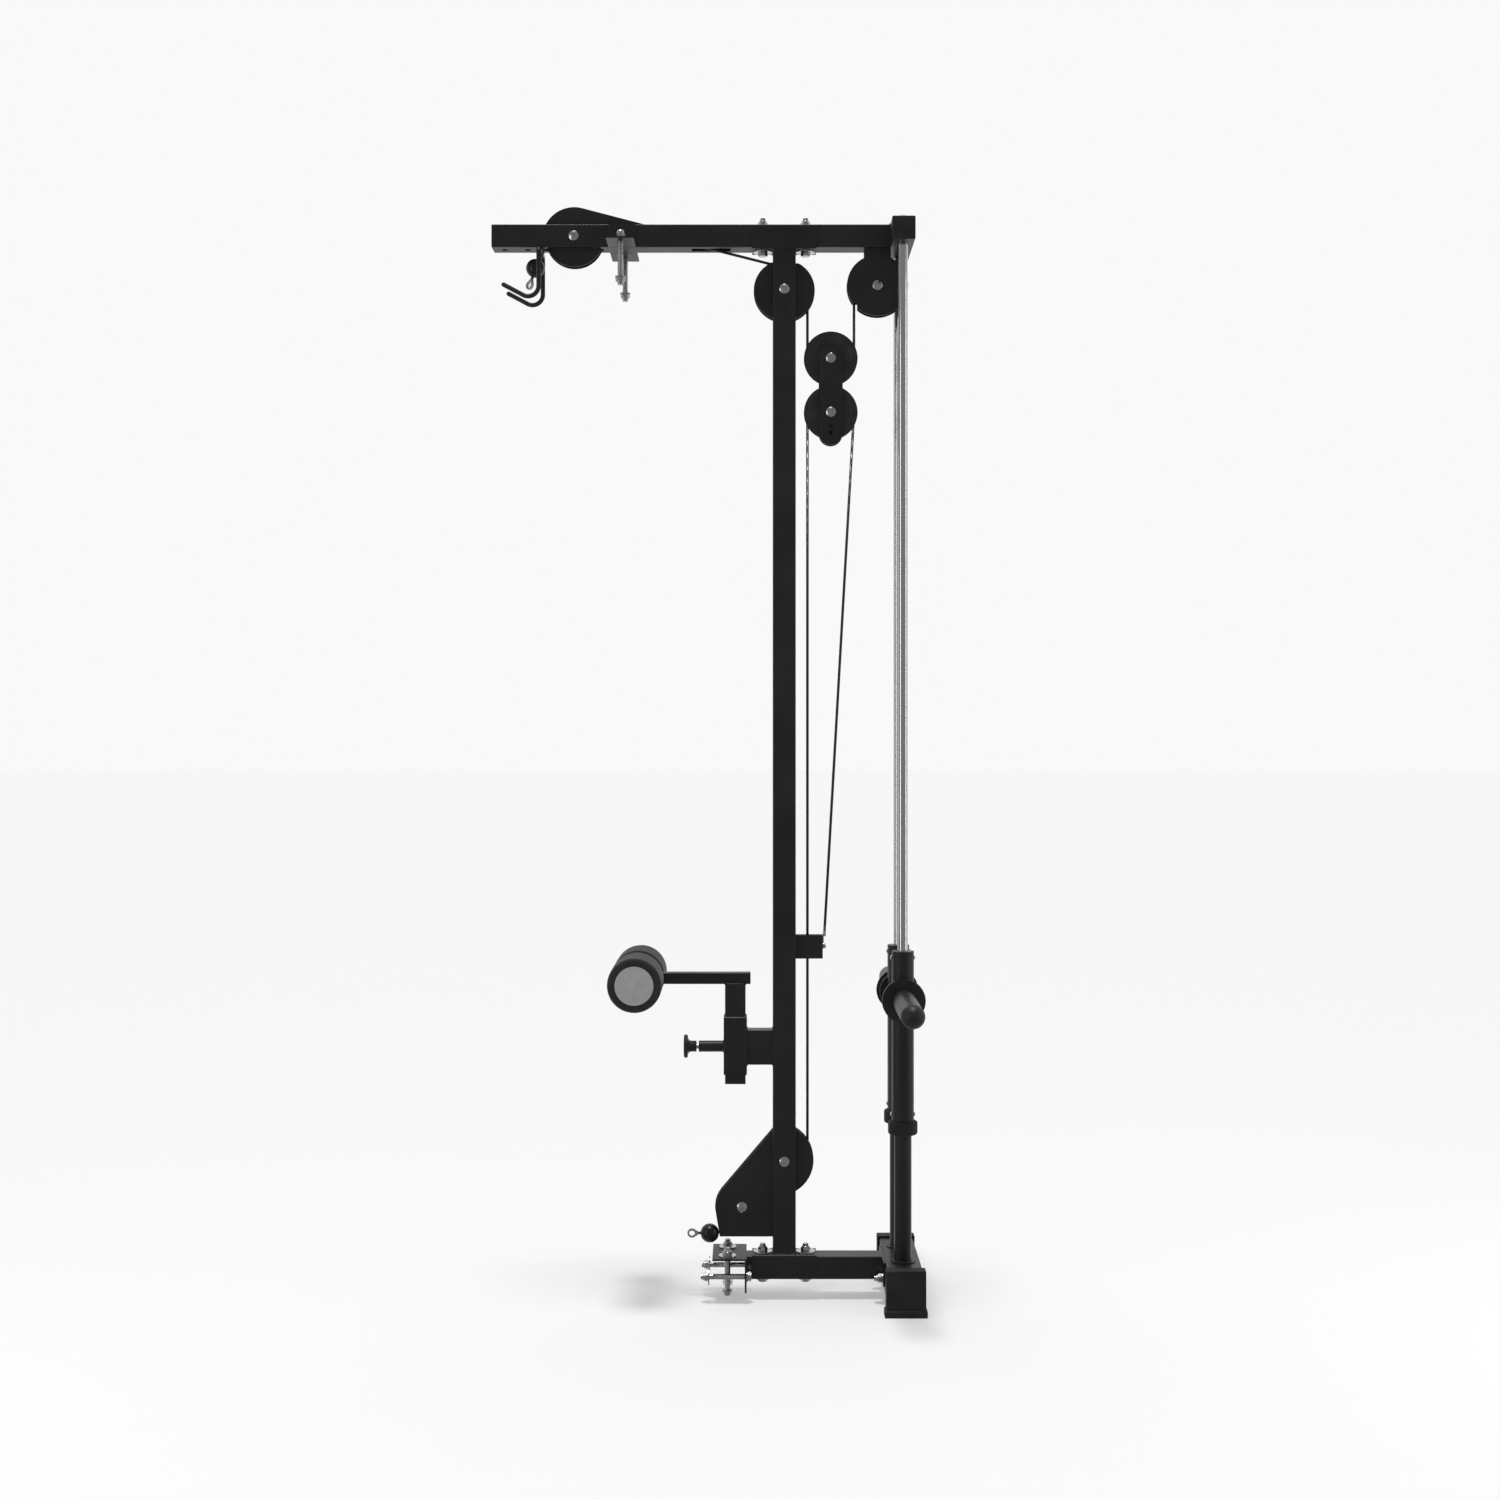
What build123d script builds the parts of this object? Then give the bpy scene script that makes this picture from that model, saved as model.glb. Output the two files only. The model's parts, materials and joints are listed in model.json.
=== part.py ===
from build123d import *
import math
import os

# A plate-loaded cable tower that bolts to the back of a power rack: a lat pull at the top
# front and a low row at the bottom front, both lifting one carriage on two guide rods.
# Frame: floor at Z 0, Y 0 is the mid plane, the user sits toward -X. Millimetres.

# ---- steelwork ----
TUBE = 50.0
WALL = 3.0
CORNER = 2.5
PLATE = 4.0
CHAMFER = 1.2
UPRIGHT_X = 169.0
UPRIGHT_BOTTOM = 98.0
UPRIGHT_TOP = 2298.0
UPRIGHT_TOP_SLOT = (2146.0, 2276.0)
UPRIGHT_FRONT_SLOT = (133.5, 389.0)
UPRIGHT_REAR_SLOT = (224.0, 384.0)
BEAM_TOP = 2352.0
BEAM_BOTTOM = BEAM_TOP - TUBE
BEAM_FRONT = -472.0
BEAM_REAR = 400.0
BEAM_LOWER_SLOT = (-367.0, -228.0)
BEAM_UPPER_SLOT = (-352.0, -150.0)
BEAM_CABLE_SLOT = (-34.0, 51.0)
BEAM_CABLE_SLOT_HALF = 11.0
BEAM_HOLES = (26.2, 77.2)
CROSSBAR_X = BEAM_REAR + TUBE / 2
CROSSBAR_HALF = 92.0
PLUG_LIP = 3.0
PLUG_DEPTH = 14.0
PLUG_WALL = 2.5
BASE_FRONT = 86.4
BASE_BOTTOM = 44.0
FOOT_TUBE = 75.0
FOOT_X = 425.0
FOOT_BOTTOM = 19.0
FOOT_HALF = 146.0
FOOT_BOLT_Y = 50.0
FOOT_BOLT_Z = 54.0
END_PLATE = 5.0
END_PLATE_HALF = 66.0
END_PLATE_BOTTOM = 38.0
END_PLATE_CORNER = 6.0
BOOT_TOP = 98.5
BOOT_HALF = 42.4
BOOT_Y = (-151.0, -122.0)
SOLE_HALF = 45.5
SOLE_Y = (-154.5, -118.0)
SOLE_H = 15.0
SADDLE_HALF_LENGTH = 70.3
SADDLE_BOLT_OFFSET = 47.0
SADDLE_LEG = 38.0
SADDLE_BEND = 3.0
SADDLE_WASHER_R = 21.0

# ---- rack clamps ----
LOW_CLAMP_FRONT = 12.0
LOW_CLAMP_HALF = 60.0
LOW_CLAMP_DROP = 24.5
LOW_BOLT_Y = 45.0
LOW_BOLT_Z = 56.0
LOW_STUD_X = 44.5
LOW_STUD_Y = 35.0
LOW_BOLT_REACH = 5.3
TOP_CLAMP_X = -186.0
TOP_CLAMP_HALF = 30.0
TOP_CLAMP_WING = 98.0
TOP_CLAMP_BOLT_Y = 75.0
TOP_CLAMP_REACH = 2225.0

# ---- fasteners, M12 ----
BOLT_R = 6.0
HOLE_R = 6.75
THREAD_GAP = 0.05
HEX_FLATS = 19.0
HEAD_H = 8.0
LOCK_NUT_H = 11.0
CAP_NUT_H = 18.0
CAP_HEX_H = 8.0
CAP_DOME_R = 9.25
CAP_BORE = 13.0
THREAD_END = 5.0
WASHER_H = 2.5
WASHER_R = 12.0
FENDER_R = 19.0
ROD_BOLT_HEAD_R = 12.5
ROD_TAP = 25.0
ROD_WASHER_R = 16.0
SOCKET_FLATS = 8.0

# ---- pulleys and cable ----
PITCH_R = 51.2
PULLEY_R = 59.0
PULLEY_HALF = 7.0
PULLEY_RIM_R = 45.0
PULLEY_HUB_R = 15.0
PULLEY_RECESS = 2.0
CABLE_R = 3.0
GROOVE_GAP = 0.3
RUN_GAP = 0.05
SIDE_GAP = 0.3
AXLE_HEAD_R = 10.9
AXLE_HEAD_H = 5.0
SPACER_R = 10.0
GROOVE_MOUTH = 5.5
GUARD_IN = 8.5
GUARD_T = 3.0
GUARD_R = 67.0
COVER_CENTRE = (-292.0, 2322.7)
COVER_R = 70.5
COVER_TAIL_X = -125.0
FRONT_GUARD_R = 64.5
MID_GUARD_TOP = 2270.0
HANGER_HALF = 29.0
HANGER_NOTCH = (44.0, 38.0)
HOUSING_BOTTOM = 134.1
HOUSING_SHOULDER = (32.2, 237.5)
HOUSING_NOSE = (17.6, 194.0)
HOUSING_HEEL_X = 27.5
HOUSING_FOOT_X = 150.0
HOUSING_BACK = (155.0, 301.8)
HOUSING_BACK_R = 78.3
HOUSING_BACK_ANGLES = (91.0, 15.0, -59.5)
STOP_STRIP_H = 26.0
STOP_SLOT_Z = (137.0, 156.0)
STOP_SLOT_HALF = 4.5
BLOCK_PLATE_IN = 8.5
BLOCK_PLATE_T = 3.0
BLOCK_HALF = 26.0
BLOCK_LOW_Z = 1897.5
BLOCK_HOLES = (1898.0, 1912.5)
BLOCK_HOLE_R = 4.5
FRONT_PULLEY = (-292.0, 2327.0)
MID_PULLEY = (UPRIGHT_X, 2210.6)
BLOCK_X = UPRIGHT_X + 2 * PITCH_R
UPPER_BLOCK_PULLEY = (BLOCK_X, 2062.5)
LOWER_BLOCK_PULLEY = (BLOCK_X, 1943.8)
REAR_PULLEY = (FOOT_X - PITCH_R, 2221.8)
LOW_REAR_PULLEY = (UPRIGHT_X, 301.5)
LOW_FRONT_PULLEY = (76.2, 199.1)
LAT_BALL = (-378.6, 2261.6)
LOW_BALL = (5.3, 138.9)
BALL_R = 20.5
EYE_R = 10.35
EYE_HOLE_R = 5.5
EYE_T = 7.0
EYE_REACH = 39.2
EYE_NECK = 24.2
LAT_EYE_ANGLE = 252.0
LOW_EYE_ANGLE = 180.0
LAT_EYE_TWIST = 37.0
LOW_EYE_TWIST = 0.0

# ---- guide rods and carriage ----
ROD_Y = 58.5
ROD_R = 11.0
STOP_R = 19.0
STOP_TOP = 370.0
STOP_FLANGE_R = 27.0
STOP_FLANGE_T = 2.0
BUMPER_R = 32.0
SOFT_EDGE = 5.0
CARRIAGE_BOTTOM = 399.0
CARRIAGE_TOP = 766.5
REST_GAP = 0.2
SLEEVE_R = 24.15
SLEEVE_WALL = 3.2
BUSHING_L = 50.0
HORN_Z = 662.0
HORN_R = 25.0
HORN_ROOT_R = 24.0
HORN_WALL = 4.0
HORN_CAP_R = 24.6
HORN_CAP_RIM = 4.0
HORN_CAP_PLUG = 20.0
HORN_CAP_WALL = 3.0
HORN_CAP_Y = 308.0
HORN_TIP_Y = 332.0
HUB_R = 41.0
HUB_IN = 60.0
COLLAR_R = 47.0
COLLAR_IN = 83.0
COLLAR_OUT = 90.0
CARRIAGE_BAR = 40.0
LOWER_BAR_Z = 470.0
LOWER_BAR_W = 30.0
STUD_R = 5.0
STUD_TOP = 742.0
STUD_TAIL = 14.0
STUD_FLATS = 17.0
STUD_NUT_H = 8.0
SCREW_INSET = 14.0
SCREW_R = 2.5
SCREW_HEAD_R = 4.8
SCREW_BITE = 3.0

# ---- cable anchor on the back of the upright ----
ANCHOR_REAR = 253.5
ANCHOR_BOTTOM = 744.0
ANCHOR_TOP = 795.0
ANCHOR_HALF = 12.0
ANCHOR_WALL = 3.0
ANCHOR_BOLT_Z = 770.6
ANCHOR_BOLT_R = 3.0
ANCHOR_FLATS = 10.0
ANCHOR_HEAD_H = 4.5
ANCHOR_NUT_H = 5.0
ANCHOR_TAIL = 7.5
LUG_T = 2.5
LUG_R = 6.5
LUG_W = 7.0
LUG_LAP = 4.0
FERRULE_R = 3.5
FERRULE_L = 13.0
FERRULE_BOTTOM = 792.0

# ---- knee hold-down ----
KNEE_X = 61.6
SLEEVE_BOX = 51.0
SLEEVE_BOX_WALL = 2.5
SLEEVE_BOX_BOTTOM = 490.7
SLEEVE_BOX_TOP = 617.7
PIN_Z = 550.0
POST = 45.0
POST_BOTTOM = 470.6
POST_HOLE_PITCH = 50.0
ARM_BOTTOM = 688.0
ARM_H = 25.0
ARM_W = 25.0
BRACKET_W = 38.0
ARM_REAR = 92.0
AXLE_X = -153.2
ROLLER_AXIS = (AXLE_X, 700.0)
AXLE_TUBE_R = 16.85
ROLLER_R = 58.8
ROLLER_IN = 13.0
ROLLER_OUT = 129.6
ROLLER_DISC_R = 41.5
ROLLER_DISC_T = 2.5
ROLLER_PLUG = (2.2, 3.2)
ROLLER_PLUG_DEPTH = 12.0
PIN_R = 6.0
PIN_HOLE_R = 6.6
BARREL_R = 12.25
BARREL_FRONT = -18.8
KNOB_NECK_REAR = -23.9
KNOB_DISC_REAR = -42.9
KNOB_FRONT = -51.5
KNOB_R = 25.5
KNOB_NECK_R = 12.0
KNOB_EDGE = 3.0

# ---- lat bar hooks ----
HOOK_R = 5.0
HOOK_Y = 41.0
HOOK_X = -366.7
HOOK_INNER_Y = 12.0
HOOK_BEND = 23.0
HOOK_TOP_BEND = 12.0
HOOK_BOTTOM = 2190.5
HOOK_RISE = 28.0
HOOK_TIP = 48.0

UP = (Align.CENTER, Align.CENTER, Align.MIN)


def span(x, y, z):
    """A box between two X, two Y and two Z values."""
    centre = [(low + high) / 2 for low, high in (x, y, z)]
    return Pos(*centre) * Box(x[1] - x[0], y[1] - y[0], z[1] - z[0])


def both(shape):
    """The shape and its mirror image across the mid plane."""
    return [shape, mirror(shape, about=Plane.XZ)]


def aim(at, direction, shape):
    """Stand a shape, built along +Z from the origin, on a point and along a direction."""
    return Plane(origin=at, z_dir=direction) * shape


def rod(start, end, radius):
    """A round bar between two points."""
    axis = Vector(*end) - Vector(*start)
    return aim(start, axis, Cylinder(radius, axis.length, align=UP))


def square_tube(width, height, wall):
    """The section of a rectangular tube."""
    inner = Rectangle(width - 2 * wall, height - 2 * wall)
    return RectangleRounded(width, height, CORNER) - inner


def tube_along_x(x0, x1, z, section):
    end = Plane(origin=(x0, 0, z), x_dir=(0, 1, 0), z_dir=(1, 0, 0))
    return extrude(end * section, amount=x1 - x0)


def tube_along_y(half, x, z, section):
    end = Plane(origin=(x, half, z), x_dir=(1, 0, 0), z_dir=(0, -1, 0))
    return extrude(end * section, amount=2 * half)


def ring(outer, inner, height):
    """A short tube standing on the origin."""
    return Cylinder(outer, height, align=UP) - Cylinder(inner, height, align=UP)


def domed_disc(radius, rim, height):
    """A disc with a shallow domed top above a straight rim."""
    rise = height - rim
    ball_r = (radius**2 + rise**2) / (2 * rise)
    return Cylinder(radius, height, align=UP) & Pos(0, 0, height - ball_r) * Sphere(ball_r)


def hexagon(flats, height):
    """A hexagonal prism with its corners turned off, as on a nut."""
    prism = extrude(RegularPolygon(flats / 2, 6, major_radius=False), amount=height)
    crown = Cylinder(flats * 0.56, height, align=UP)
    return prism & chamfer(crown.edges(), min(CHAMFER, height / 4))


def hex_head():
    return hexagon(HEX_FLATS, HEAD_H)


def lock_nut():
    """A nut with a collar that holds a nylon ring."""
    base = hexagon(HEX_FLATS, LOCK_NUT_H - 3)
    collar = Cylinder(HEX_FLATS * 0.44, LOCK_NUT_H, align=UP)
    bore = Cylinder(BOLT_R + THREAD_GAP, LOCK_NUT_H, align=UP)
    return base + fillet(collar.edges().sort_by(Axis.Z)[-1], 1.5) - bore


def cap_nut():
    """A nut closed by a dome."""
    straight = CAP_NUT_H - CAP_DOME_R
    dome = Cylinder(CAP_DOME_R, straight, align=UP)
    dome += Pos(0, 0, straight) * Sphere(CAP_DOME_R) & Cylinder(CAP_DOME_R, CAP_NUT_H, align=UP)
    bore = Cylinder(BOLT_R + THREAD_GAP, CAP_BORE, align=UP)
    return hexagon(HEX_FLATS, CAP_HEX_H) + dome - bore


def washer(radius=WASHER_R):
    return ring(radius, BOLT_R + 0.5, WASHER_H)


def fastener(at, direction, grip, washers, head=hex_head, nut=lock_nut):
    """A bolt or stud with what is on it, through a grip that starts at a point.

    `washers` holds the radii of the two washers, the head's first. A nut in place of the
    head makes it a stud. Returns the bolt, its nuts and its washers.
    """
    beyond = {hex_head: 0.0, lock_nut: LOCK_NUT_H + THREAD_END, cap_nut: CAP_BORE - 1.0}
    axis = Vector(*direction).normalized()
    near = Vector(*at)
    far = near + axis * grip
    near_seat = near - axis * WASHER_H
    far_seat = far + axis * WASHER_H
    bolt = rod(near_seat - axis * beyond[head], far_seat + axis * beyond[nut], BOLT_R)
    nuts = [aim(far_seat, axis, nut())]
    if head is hex_head:
        bolt += aim(near_seat, axis * -1, hex_head())
    else:
        nuts.append(aim(near_seat, axis * -1, head()))
    rings = [aim(near_seat, axis, washer(washers[0])), aim(far, axis, washer(washers[1]))]
    return bolt, nuts, rings


def tangent_point(point, centre, radius, side):
    """Where a line from a point touches a circle in the XZ plane; side +1 is to its left."""
    dx = centre[0] - point[0]
    dz = centre[1] - point[1]
    reach = math.hypot(dx, dz)
    aim_angle = math.atan2(dz, dx) + side * math.asin(radius / reach)
    along = math.sqrt(reach**2 - radius**2)
    return (point[0] + along * math.cos(aim_angle), point[1] + along * math.sin(aim_angle))


def angle_on(centre, point):
    """The angle of a point seen from a circle's centre, in degrees up from +X."""
    return math.degrees(math.atan2(point[1] - centre[1], point[0] - centre[0]))


def on_circle(centre, radius, degrees):
    turn = math.radians(degrees)
    return (centre[0] + radius * math.cos(turn), centre[1] + radius * math.sin(turn))


def cable_arc(centre, start, end):
    """The cable's bend in a pulley groove between two angles, anticlockwise seen from -Y."""
    bend = revolve(Plane.XZ * Pos(PITCH_R, 0) * Circle(CABLE_R), Axis.Z, end - start)
    return Plane.XZ * Pos(*centre) * Rot(0, 0, start) * bend


def cable_run(start, end):
    """A straight, tight stretch of cable between two points of the mid plane."""
    return rod((start[0], 0, start[1]), (end[0], 0, end[1]), CABLE_R)


def side_plates(outline, inner=GUARD_IN, thickness=GUARD_T):
    """A pair of plates, one each side of the mid plane, from an outline in X and Z."""
    return both(extrude(Plane.XZ.offset(inner) * outline, amount=thickness))


def along_y(x, z, radius, half):
    """A round bar across the mid plane, centred on it."""
    return Pos(x, 0, z) * Rot(90, 0, 0) * Cylinder(radius, 2 * half)


def drilled(shapes, cutter):
    return [shape - cutter for shape in shapes]


def write(node, *groups):
    """Write a node's solids to its STEP file."""
    solids = []
    for group in groups:
        for shape in group if isinstance(group, (list, tuple)) else [group]:
            solids += shape.solids()
    whole = solids[0] if len(solids) == 1 else Compound(children=solids)
    whole.label = node
    export_step(whole, f"parts/{node}.step")


# ---- where the cable touches each pulley ----
LAT_TOUCH = tangent_point(LAT_BALL, FRONT_PULLEY, PITCH_R, 1)
LOW_TOUCH = tangent_point(LOW_BALL, LOW_FRONT_PULLEY, PITCH_R, -1)
TOP_RUN_ANGLE = angle_on(FRONT_PULLEY, MID_PULLEY) + 90
LOW_RUN_ANGLE = angle_on(LOW_FRONT_PULLEY, LOW_REAR_PULLEY) - 90
TERMINAL = (ANCHOR_REAR + FERRULE_R + 0.1, FERRULE_BOTTOM)
ANCHOR_TOUCH = tangent_point(TERMINAL, LOWER_BLOCK_PULLEY, PITCH_R, -1)


# ---- frame ----
def slot(x, z, half):
    return span(x, (-half, half), z)


def make_upright():
    column = Pos(UPRIGHT_X, 0, UPRIGHT_BOTTOM) * extrude(
        square_tube(TUBE, TUBE, WALL), amount=UPRIGHT_TOP - UPRIGHT_BOTTOM
    )
    half = GUARD_IN + GUARD_T
    front = (UPRIGHT_X - TUBE, UPRIGHT_X)
    rear = (UPRIGHT_X, UPRIGHT_X + TUBE)
    column -= slot((front[0], rear[1]), UPRIGHT_TOP_SLOT, half)
    column -= slot(front, UPRIGHT_FRONT_SLOT, half)
    column -= slot(rear, UPRIGHT_REAR_SLOT, half)
    for pulley in (MID_PULLEY, LOW_REAR_PULLEY):
        column -= along_y(*pulley, BOLT_R + 0.25, TUBE)
    write("upright", column)


def make_saddles():
    """Channel saddles that hold the upright on the base beam and under the top beam."""
    x = (UPRIGHT_X - SADDLE_HALF_LENGTH, UPRIGHT_X + SADDLE_HALF_LENGTH)
    outer = TUBE / 2 + PLATE
    bolts = [UPRIGHT_X - SADDLE_BOLT_OFFSET, UPRIGHT_X + SADDLE_BOLT_OFFSET]
    saddles = []
    for web_face, leg_end, beam_bottom in (
        (UPRIGHT_BOTTOM, UPRIGHT_BOTTOM - SADDLE_LEG, BASE_BOTTOM),
        (UPRIGHT_TOP, UPRIGHT_TOP + SADDLE_LEG, BEAM_BOTTOM),
    ):
        saddle = span(x, (-outer, outer), sorted((web_face, leg_end)))
        bends = [edge for edge in saddle.edges().filter_by(Axis.X) if abs(edge.center().Z - web_face) < 1]
        saddle = fillet(bends, SADDLE_BEND)
        saddle -= span(x, (-TUBE / 2, TUBE / 2), (beam_bottom, beam_bottom + TUBE))
        for bolt_x in bolts:
            saddle -= Pos(bolt_x, 0, web_face) * Cylinder(HOLE_R, 3 * PLATE)
        saddles.append(saddle)
    write("upright_saddles", saddles)


def make_top_beam():
    middle = BEAM_TOP - TUBE / 2
    beam = tube_along_x(BEAM_FRONT + PLUG_LIP, BEAM_REAR, middle, square_tube(TUBE, TUBE, WALL))
    bottom_wall = (BEAM_BOTTOM - 1, middle)
    top_wall = (middle, BEAM_TOP + 1)
    beam -= slot(BEAM_LOWER_SLOT, bottom_wall, GUARD_IN)
    beam -= slot(BEAM_UPPER_SLOT, top_wall, GUARD_IN)
    beam -= slot(BEAM_CABLE_SLOT, bottom_wall, BEAM_CABLE_SLOT_HALF)
    beam -= along_y(*FRONT_PULLEY, BOLT_R + 0.25, TUBE)
    for inset in BEAM_HOLES:
        beam -= Pos(BEAM_FRONT + inset, 0, BEAM_BOTTOM) * Cylinder(HOLE_R, 4 * WALL)
    for hole_x in (UPRIGHT_X - SADDLE_BOLT_OFFSET, UPRIGHT_X + SADDLE_BOLT_OFFSET):
        beam -= Pos(hole_x, 0, middle) * Cylinder(HOLE_R, 2 * TUBE)
    write("top_beam", beam)


def make_crossbar():
    half = CROSSBAR_HALF - PLUG_LIP
    middle = BEAM_TOP - TUBE / 2
    bar = tube_along_y(half, CROSSBAR_X, middle, square_tube(TUBE, TUBE, WALL))
    for rod_y in (-ROD_Y, ROD_Y):
        bar -= Pos(CROSSBAR_X, rod_y, middle) * Cylinder(HOLE_R, 2 * TUBE)
    write("top_crossbar", bar)


def end_plug():
    """A square plastic plug: a lip over the tube's end and ribs that grip inside it."""
    lip = extrude(RectangleRounded(TUBE, TUBE, CORNER), amount=PLUG_LIP)
    lip = chamfer(lip.edges().group_by(Axis.Z)[-1], CHAMFER)
    inside = TUBE - 2 * WALL
    hollow = inside - 2 * PLUG_WALL
    collar = Box(inside, inside, PLUG_DEPTH, align=UP) - Box(hollow, hollow, PLUG_DEPTH, align=UP)
    return lip + Pos(0, 0, -PLUG_DEPTH) * collar


def make_tube_plugs():
    middle = BEAM_TOP - TUBE / 2
    plug = end_plug()
    side = aim((CROSSBAR_X, -CROSSBAR_HALF + PLUG_LIP, middle), (0, -1, 0), plug)
    write("tube_end_plugs", aim((BEAM_FRONT + PLUG_LIP, 0, middle), (-1, 0, 0), plug), both(side))


def make_base_beam():
    rear = FOOT_X - FOOT_TUBE / 2
    middle = BASE_BOTTOM + TUBE / 2
    beam = tube_along_x(BASE_FRONT, rear - END_PLATE, middle, square_tube(TUBE, TUBE, WALL))
    for hole_x in (UPRIGHT_X - SADDLE_BOLT_OFFSET, UPRIGHT_X + SADDLE_BOLT_OFFSET):
        beam -= Pos(hole_x, 0, middle) * Cylinder(HOLE_R, 2 * TUBE)
    plate = span(
        (rear - END_PLATE, rear),
        (-END_PLATE_HALF, END_PLATE_HALF),
        (END_PLATE_BOTTOM, BASE_BOTTOM + TUBE),
    )
    plate = fillet(plate.edges().filter_by(Axis.X), END_PLATE_CORNER)
    for bolt_y in (-FOOT_BOLT_Y, FOOT_BOLT_Y):
        plate -= rod((rear - 20, bolt_y, FOOT_BOLT_Z), (rear + 20, bolt_y, FOOT_BOLT_Z), HOLE_R)
    write("base_beam", beam, plate)


def make_foot_bar():
    middle = FOOT_BOTTOM + FOOT_TUBE / 2
    bar = tube_along_y(FOOT_HALF, FOOT_X, middle, square_tube(FOOT_TUBE, FOOT_TUBE, WALL))
    for bolt_y in (-FOOT_BOLT_Y, FOOT_BOLT_Y):
        bar -= rod((FOOT_X - 60, bolt_y, FOOT_BOLT_Z), (FOOT_X + 60, bolt_y, FOOT_BOLT_Z), HOLE_R)
    for rod_y in (-ROD_Y, ROD_Y):
        bar -= Pos(FOOT_X, rod_y, middle) * Cylinder(HOLE_R, 2 * FOOT_TUBE)
    write("foot_bar", bar)


def make_foot_boots():
    """Rubber boots over the foot bar's ends, with a spread sole."""
    boot = span((FOOT_X - BOOT_HALF, FOOT_X + BOOT_HALF), BOOT_Y, (0, BOOT_TOP))
    boot = fillet(boot.edges().filter_by(Axis.Z), 2.0)
    sole = span((FOOT_X - SOLE_HALF, FOOT_X + SOLE_HALF), SOLE_Y, (0, SOLE_H))
    sole = fillet(sole.edges().filter_by(Axis.Z), 3.0)
    sole = chamfer(sole.edges().group_by(Axis.Z)[-1], 2.0)
    half = FOOT_TUBE / 2
    pocket = tube_along_y(
        FOOT_HALF, FOOT_X, FOOT_BOTTOM + half, RectangleRounded(FOOT_TUBE, FOOT_TUBE, CORNER)
    )
    boot = fillet(boot.edges().group_by(Axis.Z)[-1], 1.9) + sole
    write("foot_boots", both(boot - pocket))


# ---- rack clamps ----
def make_lower_clamp():
    """An angle on the base beam's front end, which wraps the rack's bottom member."""
    half = (-LOW_CLAMP_HALF, LOW_CLAMP_HALF)
    top = BASE_BOTTOM + TUBE
    shelf = span((LOW_CLAMP_FRONT, BASE_FRONT), half, (top, top + PLATE))
    back = span((BASE_FRONT - PLATE, BASE_FRONT), half, (LOW_CLAMP_DROP, top))
    clamp = shelf + back
    for side in (-1, 1):
        clamp -= Pos(LOW_STUD_X, side * LOW_STUD_Y, top) * Cylinder(HOLE_R, 5 * PLATE)
        hole = Rot(0, 90, 0) * Cylinder(HOLE_R, 5 * PLATE)
        clamp -= Pos(BASE_FRONT, side * LOW_BOLT_Y, LOW_BOLT_Z) * hole
    write("lower_rack_clamp", clamp)


def make_upper_clamps():
    """An angle on each side of the top beam, its wing under the rack's top member."""
    x = (TOP_CLAMP_X - TOP_CLAMP_HALF, TOP_CLAMP_X + TOP_CLAMP_HALF)
    face = TUBE / 2
    flange = span(x, (-face - PLATE, -face), (BEAM_BOTTOM, BEAM_TOP))
    wing = span(x, (-TOP_CLAMP_WING, -face), (BEAM_BOTTOM, BEAM_BOTTOM + PLATE))
    clamp = flange + wing
    clamp -= Pos(TOP_CLAMP_X, -TOP_CLAMP_BOLT_Y, BEAM_BOTTOM) * Cylinder(HOLE_R, 5 * PLATE)
    write("upper_rack_clamps", both(clamp))


def rack_fasteners():
    """The bolts and studs that squeeze the rack's members against the clamps."""
    shelf_top = BASE_BOTTOM + TUBE + PLATE
    wing_top = BEAM_BOTTOM + PLATE
    sets = []
    for side in (-1, 1):
        back = (BASE_FRONT, side * LOW_BOLT_Y, LOW_BOLT_Z)
        sets.append(fastener(back, (-1, 0, 0), BASE_FRONT - LOW_BOLT_REACH, (WASHER_R, FENDER_R)))
        under = (LOW_STUD_X, side * LOW_STUD_Y, LOW_CLAMP_DROP)
        sets.append(fastener(under, (0, 0, 1), shelf_top - LOW_CLAMP_DROP, (WASHER_R, FENDER_R)))
        below = (TOP_CLAMP_X, side * TOP_CLAMP_BOLT_Y, TOP_CLAMP_REACH)
        high_grip = wing_top - TOP_CLAMP_REACH
        sets.append(fastener(below, (0, 0, 1), high_grip, (WASHER_R, WASHER_R), lock_nut, cap_nut))
    return sets


def saddle_fasteners():
    sets = []
    for x in (UPRIGHT_X - SADDLE_BOLT_OFFSET, UPRIGHT_X + SADDLE_BOLT_OFFSET):
        low_grip = UPRIGHT_BOTTOM - BASE_BOTTOM
        low_washers = (SADDLE_WASHER_R, SADDLE_WASHER_R)
        sets.append(fastener((x, 0, BASE_BOTTOM), (0, 0, 1), low_grip, low_washers))
        high_grip = BEAM_TOP - UPRIGHT_TOP
        high_washers = (SADDLE_WASHER_R, WASHER_R)
        sets.append(fastener((x, 0, UPRIGHT_TOP), (0, 0, 1), high_grip, high_washers))
    return sets


def foot_fastener(side):
    """A bolt through the foot bar and the base beam's end plate, its head on the foot bar."""
    rear = FOOT_X + FOOT_TUBE / 2
    front = FOOT_X - FOOT_TUBE / 2 - END_PLATE
    bolt_y = side * FOOT_BOLT_Y
    seat = front - WASHER_H
    end = seat - LOCK_NUT_H - THREAD_END
    bolt = rod((rear, bolt_y, FOOT_BOLT_Z), (end, bolt_y, FOOT_BOLT_Z), BOLT_R)
    bolt += aim((rear, bolt_y, FOOT_BOLT_Z), (1, 0, 0), hex_head())
    nut = aim((seat, bolt_y, FOOT_BOLT_Z), (-1, 0, 0), lock_nut())
    ring_washer = aim((front, bolt_y, FOOT_BOLT_Z), (-1, 0, 0), washer())
    return bolt, [nut], [ring_washer]


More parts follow.
